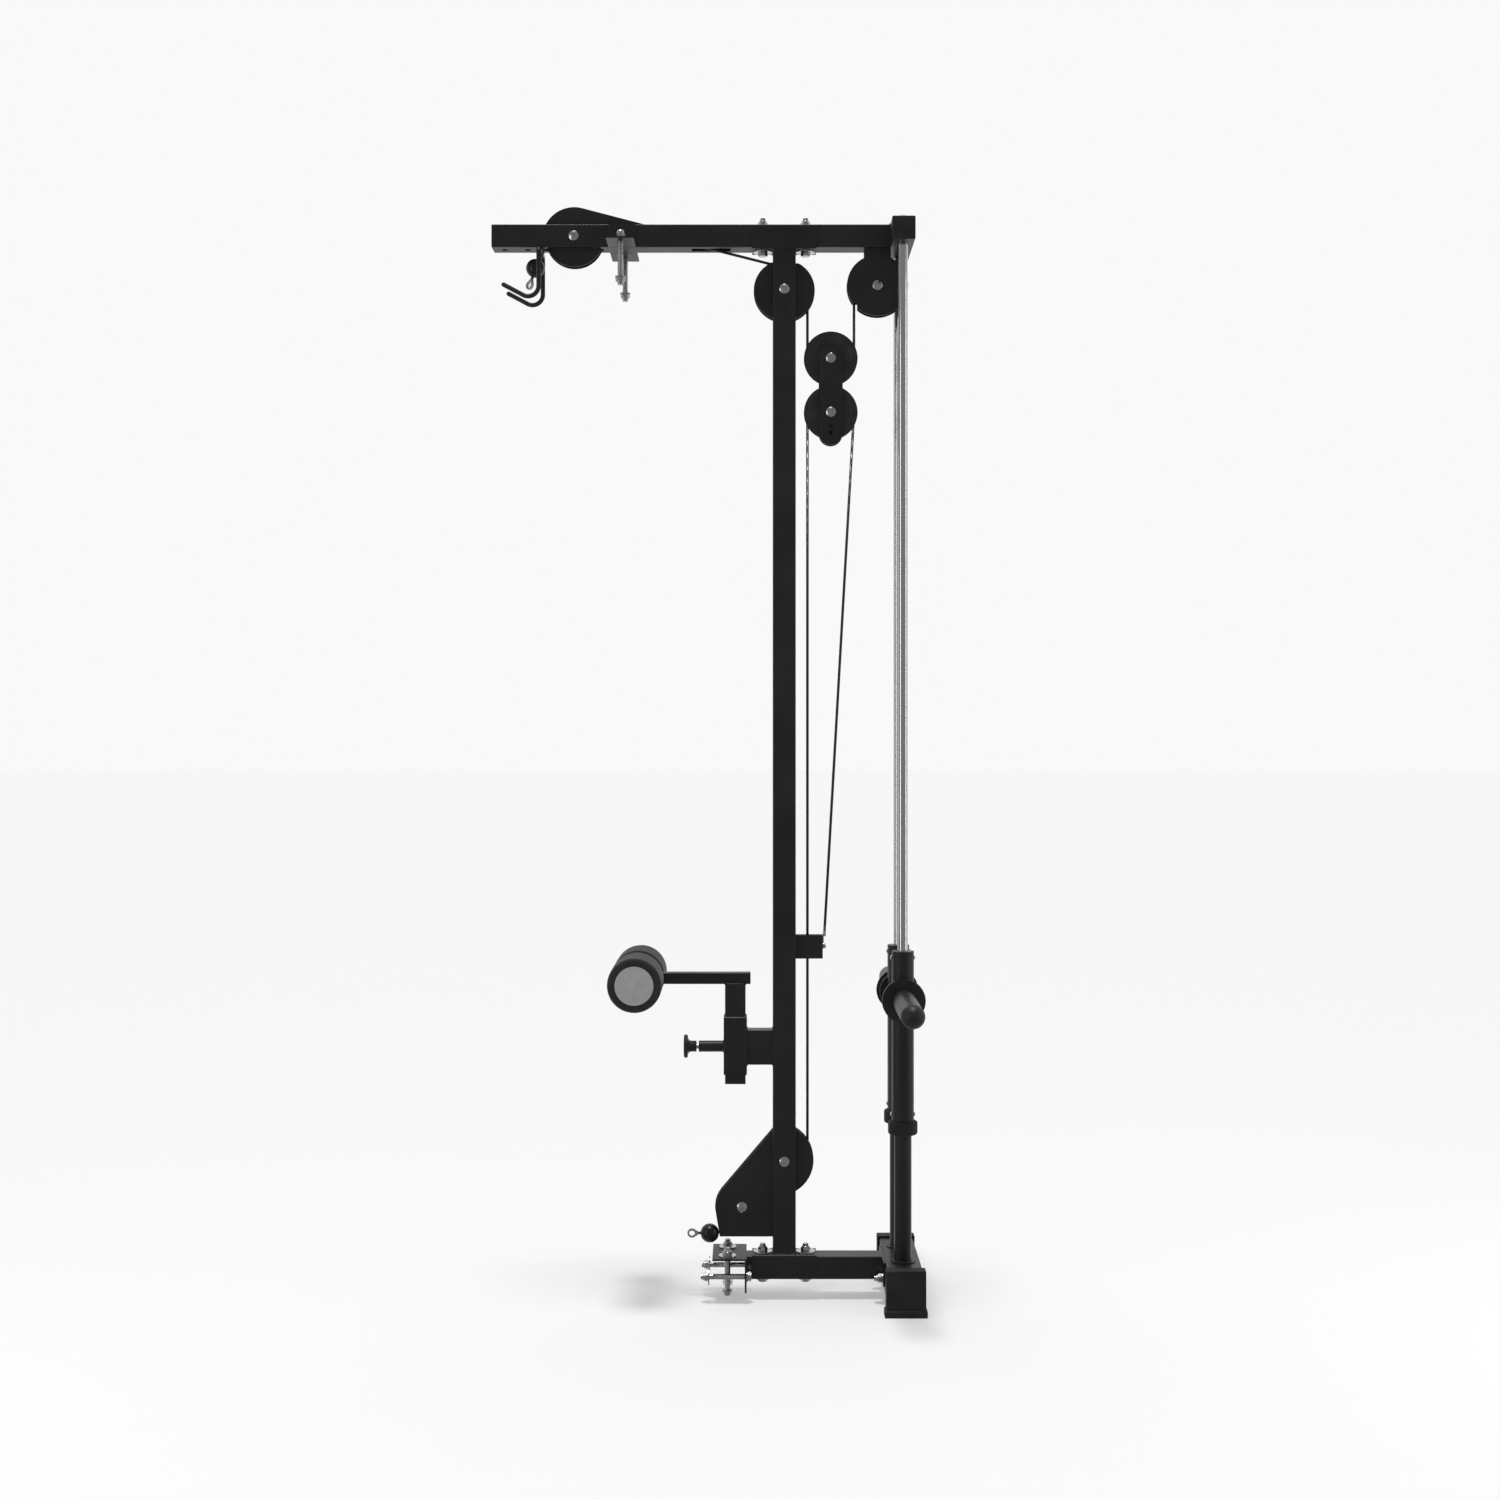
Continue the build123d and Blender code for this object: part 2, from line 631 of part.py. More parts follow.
def socket():
    """The hexagonal recess that a key fits."""
    return extrude(RegularPolygon(SOCKET_FLATS / 2, 6, major_radius=False), amount=5.0)


def button_head():
    head = domed_disc(ROD_BOLT_HEAD_R, 2.0, 8.0)
    return head - Pos(0, 0, 4.0) * socket()


def rod_bolts():
    """Bolts that hold each guide rod between the crossbar and the foot bar."""
    bolts = []
    rings = []
    for rod_y in (-ROD_Y, ROD_Y):
        top = (FOOT_X, rod_y, BEAM_TOP + WASHER_H)
        bottom = (FOOT_X, rod_y, FOOT_BOTTOM)
        top_end = (FOOT_X, rod_y, BEAM_BOTTOM - ROD_TAP)
        bottom_end = (FOOT_X, rod_y, FOOT_BOTTOM + FOOT_TUBE + ROD_TAP)
        bolts.append(rod(top, top_end, BOLT_R) + aim(top, (0, 0, 1), button_head()))
        bolts.append(rod(bottom, bottom_end, BOLT_R) + aim(bottom, (0, 0, -1), button_head()))
        rings.append(Pos(FOOT_X, rod_y, BEAM_TOP) * washer(ROD_WASHER_R))
    return bolts, rings


def make_frame_fasteners():
    sets = rack_fasteners() + saddle_fasteners() + [foot_fastener(-1), foot_fastener(1)]
    long_bolts, wide_rings = rod_bolts()
    write("frame_bolts", [bolt for bolt, _, _ in sets], long_bolts)
    write("frame_nuts", *[nuts for _, nuts, _ in sets])
    write("frame_washers", *[rings for _, _, rings in sets], wide_rings)


# ---- guide rods ----
def make_guides():
    foot_top = FOOT_BOTTOM + FOOT_TUBE
    tap = Cylinder(BOLT_R + THREAD_GAP, 2 * ROD_TAP)
    bar = rod((FOOT_X, -ROD_Y, foot_top), (FOOT_X, -ROD_Y, BEAM_BOTTOM), ROD_R)
    for end in (foot_top, BEAM_BOTTOM):
        bar -= Pos(FOOT_X, -ROD_Y, end) * tap
    write("guide_rods", both(bar))
    stop = ring(STOP_FLANGE_R, STOP_R - WALL, STOP_FLANGE_T)
    stop += ring(STOP_R, STOP_R - WALL, STOP_TOP - foot_top)
    write("stop_tubes", both(Pos(FOOT_X, -ROD_Y, foot_top) * stop))
    height = CARRIAGE_BOTTOM - REST_GAP - STOP_TOP
    bumper = ring(BUMPER_R, ROD_R + 0.5, height)
    rims = bumper.edges().filter_by(GeomType.CIRCLE).sort_by(SortBy.RADIUS)[-2:]
    write("rubber_bumpers", both(Pos(FOOT_X, -ROD_Y, STOP_TOP) * fillet(rims, SOFT_EDGE)))


# ---- pulley plates ----
def area(x, z):
    """A rectangle in the side view between two X and two Z values."""
    return Pos((x[0] + x[1]) / 2, (z[0] + z[1]) / 2) * Rectangle(x[1] - x[0], z[1] - z[0])


def axle_hole(pulley):
    return along_y(*pulley, BOLT_R + 0.25, 2 * TUBE)


def make_front_plates():
    """Cover plates standing on the top beam and guard plates hanging below it."""
    tail = (COVER_TAIL_X, BEAM_TOP)
    touch = tangent_point(tail, COVER_CENTRE, COVER_R, -1)
    disc = Pos(*COVER_CENTRE) * Circle(COVER_R)
    cover = disc + Polygon(COVER_CENTRE, tail, touch, align=None)
    cover &= area((-500.0, 0.0), (BEAM_TOP, BEAM_TOP + TUBE))
    guard = Pos(*FRONT_PULLEY) * Circle(FRONT_GUARD_R)
    guard &= area((-500.0, 0.0), (BEAM_BOTTOM - TUBE, BEAM_BOTTOM))
    write("front_pulley_plates", side_plates(cover), side_plates(guard))


def make_mid_guards():
    disc = Pos(*MID_PULLEY) * Circle(GUARD_R)
    disc -= area((UPRIGHT_X, UPRIGHT_X + GUARD_R), (MID_GUARD_TOP, UPRIGHT_TOP))
    write("mid_pulley_guards", drilled(side_plates(disc), axle_hole(MID_PULLEY)))


def make_rear_hanger():
    x, z = REAR_PULLEY
    neck = area((x - HANGER_HALF, x + HANGER_HALF), (z, BEAM_BOTTOM))
    plate = Pos(x, z) * Circle(GUARD_R) + neck
    plate -= area((x - GUARD_R, x - HANGER_NOTCH[0]), (z - GUARD_R, z - HANGER_NOTCH[1]))
    write("rear_pulley_hanger", drilled(side_plates(plate), axle_hole(REAR_PULLEY)))


def low_housing_outline():
    """The low row housing: a flat bottom, a bowed front and a round back behind the upright."""
    heel = (HOUSING_HEEL_X, HOUSING_BOTTOM)
    foot = (HOUSING_FOOT_X, HOUSING_BOTTOM)
    top, middle, back_end = [on_circle(HOUSING_BACK, HOUSING_BACK_R, turn) for turn in HOUSING_BACK_ANGLES]
    slope = (HOUSING_SHOULDER[0] - top[0], HOUSING_SHOULDER[1] - top[1])
    edges = [
        Line(top, HOUSING_SHOULDER),
        TangentArc(HOUSING_SHOULDER, HOUSING_NOSE, tangent=slope),
        Line(HOUSING_NOSE, heel),
        Line(heel, foot),
        Line(foot, back_end),
        ThreePointArc(top, middle, back_end),
    ]
    return make_face(edges)


def make_low_housing():
    plates = side_plates(low_housing_outline())
    for pulley in (LOW_FRONT_PULLEY, LOW_REAR_PULLEY):
        plates = drilled(plates, axle_hole(pulley))
    lean = (HOUSING_NOSE[0] - HOUSING_HEEL_X) / (HOUSING_NOSE[1] - HOUSING_BOTTOM)
    low = (HOUSING_HEEL_X, HOUSING_BOTTOM)
    high = (HOUSING_HEEL_X + lean * STOP_STRIP_H, HOUSING_BOTTOM + STOP_STRIP_H)
    strip = Polygon(low, high, (high[0] + GUARD_T, high[1]), (low[0] + GUARD_T, low[1]), align=None)
    stop = extrude(Plane.XZ * strip, amount=GUARD_IN, both=True)
    stop -= slot((LOW_BALL[0], LOW_TOUCH[0]), STOP_SLOT_Z, STOP_SLOT_HALF)
    write("low_pulley_housing", plates, stop)


def make_bar_hooks():
    """Two round-bar hooks welded under the top beam, which cradle a lat bar."""
    rise = math.radians(HOOK_RISE)
    bend_z = HOOK_BOTTOM + HOOK_BEND
    reach = HOOK_BEND * math.tan(math.radians(90 + HOOK_RISE) / 2)
    corner = (HOOK_X, -HOOK_Y, bend_z - reach)
    tip_run = reach + HOOK_TIP
    tip = (HOOK_X - tip_run * math.cos(rise), -HOOK_Y, corner[2] + tip_run * math.sin(rise))
    top = BEAM_BOTTOM - HOOK_R
    start = (HOOK_X, -HOOK_INNER_Y, top)
    route = FilletPolyline(start, (HOOK_X, -HOOK_Y, top), corner, tip, radius=[HOOK_TOP_BEND, HOOK_BEND])
    hook = sweep(Plane(origin=start, z_dir=(0, -1, 0)) * Circle(HOOK_R), path=route)
    write("bar_hooks", both(hook + Pos(*tip) * Sphere(HOOK_R)))


# ---- pulleys and their axles ----
def band(inner, outer, half):
    """A rectangle of a wheel's section, between two radii."""
    return area((inner, outer), (-half, half))


def make_pulley(node, centre):
    """A wheel with a cable groove, a thick rim, a thinner web and a hub, on a plain bore."""
    section = band(PULLEY_RIM_R, PULLEY_R, PULLEY_HALF)
    section += band(BOLT_R + RUN_GAP, PULLEY_RIM_R, PULLEY_HALF - PULLEY_RECESS)
    section += band(BOLT_R + RUN_GAP, PULLEY_HUB_R, PULLEY_HALF)
    groove = CABLE_R + GROOVE_GAP
    mouth = PULLEY_R + 1
    section -= Pos(PITCH_R, 0) * Circle(groove)
    flare = [(PITCH_R, -groove), (mouth, -GROOVE_MOUTH), (mouth, GROOVE_MOUTH), (PITCH_R, groove)]
    section -= Polygon(*flare, align=None)
    wheel = revolve(Plane.XZ * section, Axis.Z)
    write(node, Pos(centre[0], 0, centre[1]) * Rot(90, 0, 0) * wheel)


def axle(centre, face, *gaps):
    """A bolt across the mid plane, its nut, and a spacer on each side in every gap."""
    x, z = centre
    head = domed_disc(AXLE_HEAD_R, 1.5, AXLE_HEAD_H)
    head -= Pos(0, 0, AXLE_HEAD_H - 3.0) * socket()
    near = (x, -face, z)
    far = (x, face, z)
    end = (x, face + LOCK_NUT_H + THREAD_END, z)
    bolt = rod(near, end, BOLT_R) + aim(near, (0, -1, 0), head)
    spacers = []
    for low, high in gaps:
        spacer = ring(SPACER_R, BOLT_R + THREAD_GAP, high - low)
        spacers += both(aim((x, -low, z), (0, -1, 0), spacer))
    return [bolt, aim(far, (0, 1, 0), lock_nut())] + spacers


def make_axles():
    wall = TUBE / 2
    inner = wall - WALL
    plate = GUARD_IN + GUARD_T
    hub = PULLEY_HALF + SIDE_GAP
    to_plate = (hub, GUARD_IN)
    to_wall = (plate, inner)
    write(
        "pulley_axles",
        axle(FRONT_PULLEY, wall, (hub, inner)),
        axle(MID_PULLEY, wall, to_plate, to_wall),
        axle(LOW_REAR_PULLEY, wall, to_plate, to_wall),
        axle(LOW_FRONT_PULLEY, plate, to_plate),
        axle(REAR_PULLEY, plate, to_plate),
    )
    face = BLOCK_PLATE_IN + BLOCK_PLATE_T
    write(
        "block_axles",
        axle(UPPER_BLOCK_PULLEY, face, (hub, BLOCK_PLATE_IN)),
        axle(LOWER_BLOCK_PULLEY, face, (hub, BLOCK_PLATE_IN)),
    )


def make_block_plates():
    """The floating block's two straps, which carry one pulley above the other."""
    top = UPPER_BLOCK_PULLEY[1]
    length = top - BLOCK_LOW_Z
    strap = Rot(0, 0, 90) * SlotCenterToCenter(length, 2 * BLOCK_HALF)
    strap = Pos(BLOCK_X, (top + BLOCK_LOW_Z) / 2) * strap
    for hole_z in BLOCK_HOLES:
        strap -= Pos(BLOCK_X, hole_z) * Circle(BLOCK_HOLE_R)
    plates = side_plates(strap, BLOCK_PLATE_IN, BLOCK_PLATE_T)
    for pulley in (UPPER_BLOCK_PULLEY, LOWER_BLOCK_PULLEY):
        plates = drilled(plates, axle_hole(pulley))
    write("block_plates", plates)


# ---- cables ----
def make_cables():
    front_touch = on_circle(FRONT_PULLEY, PITCH_R, TOP_RUN_ANGLE)
    mid_touch = on_circle(MID_PULLEY, PITCH_R, TOP_RUN_ANGLE)
    upper = cable_arc(FRONT_PULLEY, TOP_RUN_ANGLE, angle_on(FRONT_PULLEY, LAT_TOUCH) % 360)
    upper += cable_run(front_touch, mid_touch)
    upper += cable_arc(MID_PULLEY, 0, TOP_RUN_ANGLE)
    low_front_touch = on_circle(LOW_FRONT_PULLEY, PITCH_R, LOW_RUN_ANGLE)
    low_rear_touch = on_circle(LOW_REAR_PULLEY, PITCH_R, LOW_RUN_ANGLE)
    lower = cable_arc(LOW_FRONT_PULLEY, angle_on(LOW_FRONT_PULLEY, LOW_TOUCH), LOW_RUN_ANGLE)
    lower += cable_run(low_front_touch, low_rear_touch)
    lower += cable_arc(LOW_REAR_PULLEY, LOW_RUN_ANGLE, 0)
    write("cable_on_frame_pulleys", upper, cable_arc(REAR_PULLEY, 0, 180), lower)
    over_top = angle_on(LOWER_BLOCK_PULLEY, ANCHOR_TOUCH)
    write(
        "cable_on_block",
        cable_arc(UPPER_BLOCK_PULLEY, 180, 360),
        cable_arc(LOWER_BLOCK_PULLEY, over_top, 180),
    )
    write("strand_mid_to_block", vertical_run(MID_PULLEY, UPPER_BLOCK_PULLEY, 1))
    write("strand_rear_to_block", vertical_run(REAR_PULLEY, UPPER_BLOCK_PULLEY, -1))
    carriage_x = REAR_PULLEY[0] + PITCH_R
    write("strand_to_carriage", cable_run((carriage_x, STUD_TOP), (carriage_x, REAR_PULLEY[1])))
    write("strand_low_to_block", vertical_run(LOW_REAR_PULLEY, LOWER_BLOCK_PULLEY, 1))
    write("strand_to_anchor", cable_run(ferrule_top(), ANCHOR_TOUCH))


def vertical_run(fixed, moving, side):
    """The upright stretch between two pulleys, on the +X or -X side of the fixed one."""
    x = fixed[0] + side * PITCH_R
    ends = sorted((fixed[1], moving[1]))
    return cable_run((x, ends[0]), (x, ends[1]))


def anchor_direction():
    return (Vector(*ANCHOR_TOUCH) - Vector(*TERMINAL)).normalized()


def ferrule_top():
    top = Vector(*TERMINAL) + anchor_direction() * FERRULE_L
    return (top.X, top.Y)


def make_cable_end(name, ball, touch, eye_angle, twist):
    """A cable end: the tail off the pulley, the stop ball and the eye a handle clips to."""
    inner = on_circle(ball, EYE_NECK, eye_angle)
    at = (ball[0], 0, ball[1])
    tail = cable_run(touch, ball) + cable_run(ball, inner) + Pos(*at) * Sphere(CABLE_R)
    neck = on_circle(ball, EYE_NECK - 1.0, eye_angle)
    centre = on_circle(ball, EYE_REACH, eye_angle)
    touches = [tangent_point(neck, centre, EYE_R, side) for side in (-1, 1)]
    drop = Pos(*centre) * Circle(EYE_R) + Polygon(neck, touches[0], centre, touches[1], align=None)
    drop -= Pos(*centre) * Circle(EYE_HOLE_R)
    along = (centre[0] - ball[0], 0, centre[1] - ball[1])
    eye = extrude(Plane.XZ * drop, amount=EYE_T / 2, both=True).rotate(Axis(at, along), twist)
    write(f"{name}_cable_tail", tail)
    write(f"{name}_eye", eye - tail)
    write(f"{name}_ball", Pos(*at) * Sphere(BALL_R) - tail)


def make_anchor():
    """A channel behind the upright, and the cable's lug bolted to its web."""
    front = UPRIGHT_X + TUBE / 2
    inside = ANCHOR_HALF - ANCHOR_WALL
    z = (ANCHOR_BOTTOM, ANCHOR_TOP)
    web = ANCHOR_REAR - ANCHOR_WALL
    channel = span((front, ANCHOR_REAR), (-ANCHOR_HALF, ANCHOR_HALF), z)
    channel -= span((front, web), (-inside, inside), z)
    hole = Rot(0, 90, 0) * Cylinder(ANCHOR_BOLT_R + 0.5, 3 * ANCHOR_WALL)
    channel -= Pos(ANCHOR_REAR, 0, ANCHOR_BOLT_Z) * hole
    write("anchor_bracket", channel)
    strap = TERMINAL[1] + LUG_LAP - ANCHOR_BOLT_Z
    lug = Circle(LUG_R) + Pos(0, strap / 2) * Rectangle(LUG_W, strap)
    lug -= Circle(ANCHOR_BOLT_R + 0.2)
    back = Plane(origin=(ANCHOR_REAR, 0, ANCHOR_BOLT_Z), x_dir=(0, 1, 0), z_dir=(1, 0, 0))
    tag = extrude(back * lug, amount=LUG_T)
    top = ferrule_top()
    tag += rod((TERMINAL[0], 0, TERMINAL[1]), (top[0], 0, top[1]), FERRULE_R)
    seat = (ANCHOR_REAR + LUG_T, 0, ANCHOR_BOLT_Z)
    bolt = aim(seat, (1, 0, 0), hexagon(ANCHOR_FLATS, ANCHOR_HEAD_H))
    bolt += rod(seat, (web - ANCHOR_TAIL, 0, ANCHOR_BOLT_Z), ANCHOR_BOLT_R)
    nut = hexagon(ANCHOR_FLATS, ANCHOR_NUT_H) - Cylinder(ANCHOR_BOLT_R + THREAD_GAP, 3 * ANCHOR_NUT_H)
    write("cable_anchor", tag, bolt, aim((web, 0, ANCHOR_BOLT_Z), (-1, 0, 0), nut))


# ---- carriage ----
def sleeve_cores():
    """The room that the carriage sleeves fill, for parts that are coped to them."""
    core = Cylinder(SLEEVE_R, CARRIAGE_TOP - CARRIAGE_BOTTOM, align=UP)
    return both(Pos(FOOT_X, -ROD_Y, CARRIAGE_BOTTOM) * core)


def make_carriage():
    bore = SLEEVE_R - SLEEVE_WALL
    height = CARRIAGE_TOP - CARRIAGE_BOTTOM
    sleeve = Pos(FOOT_X, -ROD_Y, CARRIAGE_BOTTOM) * ring(SLEEVE_R, bore, height)
    bushing = ring(bore, ROD_R + RUN_GAP, BUSHING_L)
    bushings = []
    screws = []
    for low, screw_z in (
        (CARRIAGE_BOTTOM, CARRIAGE_BOTTOM + SCREW_INSET),
        (CARRIAGE_TOP - BUSHING_L, CARRIAGE_TOP - SCREW_INSET),
    ):
        lined = Pos(FOOT_X, -ROD_Y, low) * bushing
        for side in (-1, 1):
            seat = (FOOT_X + side * SLEEVE_R, -ROD_Y, screw_z)
            tip = (FOOT_X + side * (bore - SCREW_BITE), -ROD_Y, screw_z)
            shank = rod(seat, tip, SCREW_R)
            screws.append(shank + aim(seat, (side, 0, 0), domed_disc(SCREW_HEAD_R, 1.0, 3.2)))
            lined -= shank
            sleeve -= shank
        bushings.append(lined)
    bars = []
    for bar_z, width in ((LOWER_BAR_Z, LOWER_BAR_W), (HORN_Z, CARRIAGE_BAR)):
        bar = tube_along_y(ROD_Y, FOOT_X, bar_z, square_tube(width, CARRIAGE_BAR, WALL))
        for core in sleeve_cores():
            bar -= core
        bars.append(bar - Pos(FOOT_X, 0, HORN_Z) * Cylinder(STUD_R + 0.3, 2 * CARRIAGE_BAR))
    write("carriage_frame", both(sleeve), bars)
    write("carriage_bushings", *[both(lined) for lined in bushings])
    top_face = HORN_Z + CARRIAGE_BAR / 2
    bottom_face = HORN_Z - CARRIAGE_BAR / 2
    nut = hexagon(STUD_FLATS, STUD_NUT_H) - Cylinder(STUD_R + THREAD_GAP, 3 * STUD_NUT_H)
    stud = rod((FOOT_X, 0, bottom_face - STUD_TAIL), (FOOT_X, 0, STUD_TOP), STUD_R)
    stud = chamfer(stud.edges().sort_by(Axis.Z)[0], 1.0)
    write(
        "carriage_hardware",
        *[both(screw) for screw in screws],
        stud,
        Pos(FOOT_X, 0, top_face) * nut,
        Pos(FOOT_X, 0, bottom_face - STUD_NUT_H) * nut,
    )


def make_horns():
    """Weight horns, one each side, with a collar that the plates stop against."""
    root = (FOOT_X, -ROD_Y, HORN_Z)
    shoulder = (FOOT_X, -COLLAR_OUT, HORN_Z)
    end = (FOOT_X, -HORN_CAP_Y, HORN_Z)
    bore = HORN_R - HORN_WALL
    horn = rod(root, shoulder, HORN_ROOT_R) + rod(shoulder, end, HORN_R) - rod(root, end, bore)
    horn -= sleeve_cores()[0]
    horn = horn.solids().sort_by(SortBy.VOLUME)[-1]
    collar = ring(COLLAR_R, HORN_ROOT_R, COLLAR_OUT - COLLAR_IN)
    collar = aim((FOOT_X, -COLLAR_IN, HORN_Z), (0, -1, 0), collar)
    hub = ring(HUB_R, HORN_ROOT_R, COLLAR_IN - HUB_IN)
    hub = aim((FOOT_X, -HUB_IN, HORN_Z), (0, -1, 0), hub)
    cope = Cylinder(SLEEVE_R, CARRIAGE_TOP - CARRIAGE_BOTTOM, align=UP)
    hub -= Pos(FOOT_X, -ROD_Y, CARRIAGE_BOTTOM) * cope
    write("weight_horns", both(horn), both(collar), both(hub))
    cap = domed_disc(HORN_CAP_R, HORN_CAP_RIM, HORN_TIP_Y - HORN_CAP_Y)
    cap += Pos(0, 0, -HORN_CAP_PLUG) * ring(bore, bore - HORN_CAP_WALL, HORN_CAP_PLUG)
    write("horn_caps", both(aim(end, (0, -1, 0), cap)))


# ---- knee hold-down ----
def make_knee_bracket():
    """The fixed sleeve in front of the upright, its bracket tube and the pin's barrel."""
    half = SLEEVE_BOX / 2
    height = SLEEVE_BOX_TOP - SLEEVE_BOX_BOTTOM
    inside = SLEEVE_BOX - 2 * SLEEVE_BOX_WALL
    outer = extrude(RectangleRounded(SLEEVE_BOX, SLEEVE_BOX, CORNER), amount=height)
    rims = outer.edges().group_by(Axis.Z)
    outer = chamfer(rims[0] + rims[-1], CHAMFER)
    sleeve = Pos(KNEE_X, 0, SLEEVE_BOX_BOTTOM) * (outer - Box(inside, inside, 3 * height))
    front = KNEE_X - half
    sleeve -= rod((front - 5, 0, PIN_Z), (front + 5, 0, PIN_Z), PIN_HOLE_R)
    barrel = rod((BARREL_FRONT, 0, PIN_Z), (front, 0, PIN_Z), BARREL_R)
    barrel -= rod((BARREL_FRONT - 1, 0, PIN_Z), (front + 1, 0, PIN_Z), PIN_R + RUN_GAP)
    section = square_tube(BRACKET_W, 2 * BRACKET_W, WALL)
    bracket = tube_along_x(KNEE_X + half, UPRIGHT_X - TUBE / 2, PIN_Z, section)
    write("knee_bracket", sleeve, barrel, bracket)


def make_pop_pin():
    tip = KNEE_X - SLEEVE_BOX / 2 + SLEEVE_BOX_WALL - REST_GAP
    pin = rod((KNOB_DISC_REAR, 0, PIN_Z), (tip, 0, PIN_Z), PIN_R)
    write("pop_pin", chamfer(pin.edges().filter_by(GeomType.CIRCLE).sort_by(Axis.X)[-1], 1.0))
    neck = rod((KNOB_DISC_REAR, 0, PIN_Z), (KNOB_NECK_REAR, 0, PIN_Z), KNOB_NECK_R)
    neck -= rod((KNOB_DISC_REAR, 0, PIN_Z), (KNOB_NECK_REAR + 1, 0, PIN_Z), PIN_R)
    disc = rod((KNOB_FRONT, 0, PIN_Z), (KNOB_DISC_REAR, 0, PIN_Z), KNOB_R)
    disc = fillet(disc.edges().filter_by(GeomType.CIRCLE), KNOB_EDGE)
    write("pin_knob", disc + neck)


def make_knee_post():
    inner = POST - 2 * SLEEVE_BOX_WALL
    post = extrude(RectangleRounded(POST, POST, CORNER), amount=ARM_BOTTOM - POST_BOTTOM)
    post -= Pos(0, 0, -SLEEVE_BOX_WALL) * Box(inner, inner, ARM_BOTTOM - POST_BOTTOM, align=UP)
    for step in (-1, 0, 1):
        hole_z = PIN_Z - POST_BOTTOM + step * POST_HOLE_PITCH
        post -= rod((-POST, 0, hole_z), (0, 0, hole_z), PIN_HOLE_R)
    write("knee_post", Pos(KNEE_X, 0, POST_BOTTOM) * post)
    section = square_tube(ARM_W, ARM_H, SLEEVE_BOX_WALL)
    arm = tube_along_x(AXLE_X, ARM_REAR, ARM_BOTTOM + ARM_H / 2, section)
    arm -= along_y(*ROLLER_AXIS, AXLE_TUBE_R, ARM_W)
    arm = arm.solids().sort_by(SortBy.VOLUME)[-1]
    cap = span((ARM_REAR, ARM_REAR + WALL), (-ARM_W / 2, ARM_W / 2), (ARM_BOTTOM, ARM_BOTTOM + ARM_H))
    write("knee_arm", arm, chamfer(cap.edges().group_by(Axis.X)[-1], CHAMFER))


def make_rollers():
    """The roller axle, two foam rollers that turn on it, and what keeps them there."""
    out = ROLLER_OUT + SIDE_GAP + ROLLER_DISC_T
    tube = along_y(*ROLLER_AXIS, AXLE_TUBE_R, out)
    write("roller_axle", tube - along_y(*ROLLER_AXIS, AXLE_TUBE_R - WALL, 2 * out))
    at = (AXLE_X, -ROLLER_IN, ROLLER_AXIS[1])
    foam = ring(ROLLER_R, AXLE_TUBE_R + SIDE_GAP, ROLLER_OUT - ROLLER_IN)
    rims = foam.edges().filter_by(GeomType.CIRCLE).sort_by(SortBy.RADIUS)[-2:]
    roller = aim(at, (0, -1, 0), fillet(rims, SOFT_EDGE))
    write("foam_roller_near", roller)
    write("foam_roller_far", mirror(roller, about=Plane.XZ))
    disc_at = (AXLE_X, -ROLLER_OUT - SIDE_GAP, ROLLER_AXIS[1])
    disc = aim(disc_at, (0, -1, 0), ring(ROLLER_DISC_R, AXLE_TUBE_R, ROLLER_DISC_T))
    plug = domed_disc(AXLE_TUBE_R, *ROLLER_PLUG)
    skirt = ring(AXLE_TUBE_R - WALL, AXLE_TUBE_R - 2 * WALL, ROLLER_PLUG_DEPTH)
    plug += Pos(0, 0, -ROLLER_PLUG_DEPTH) * skirt
    plug = aim((AXLE_X, -out, ROLLER_AXIS[1]), (0, -1, 0), plug)
    write("roller_end_discs", both(disc), both(plug))


os.makedirs("parts", exist_ok=True)
make_upright()
make_saddles()
make_top_beam()
make_crossbar()
make_tube_plugs()
make_base_beam()
make_foot_bar()
make_foot_boots()
make_lower_clamp()
make_upper_clamps()
make_frame_fasteners()
make_guides()
make_front_plates()
make_mid_guards()
make_rear_hanger()
make_low_housing()
make_bar_hooks()
make_axles()
make_block_plates()
for name, centre in (
    ("pulley_top_front", FRONT_PULLEY),
    ("pulley_top_mid", MID_PULLEY),
    ("pulley_top_rear", REAR_PULLEY),
    ("pulley_block_upper", UPPER_BLOCK_PULLEY),
    ("pulley_block_lower", LOWER_BLOCK_PULLEY),
    ("pulley_low_rear", LOW_REAR_PULLEY),
    ("pulley_low_front", LOW_FRONT_PULLEY),
):
    make_pulley(name, centre)
make_cables()
make_cable_end("lat", LAT_BALL, LAT_TOUCH, LAT_EYE_ANGLE, LAT_EYE_TWIST)
make_cable_end("low", LOW_BALL, LOW_TOUCH, LOW_EYE_ANGLE, LOW_EYE_TWIST)
make_anchor()
make_carriage()
make_horns()
make_knee_bracket()
make_pop_pin()
make_knee_post()
make_rollers()
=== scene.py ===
import json
import math

import bmesh
import bpy
from mathutils import Matrix, Vector, noise as lattice


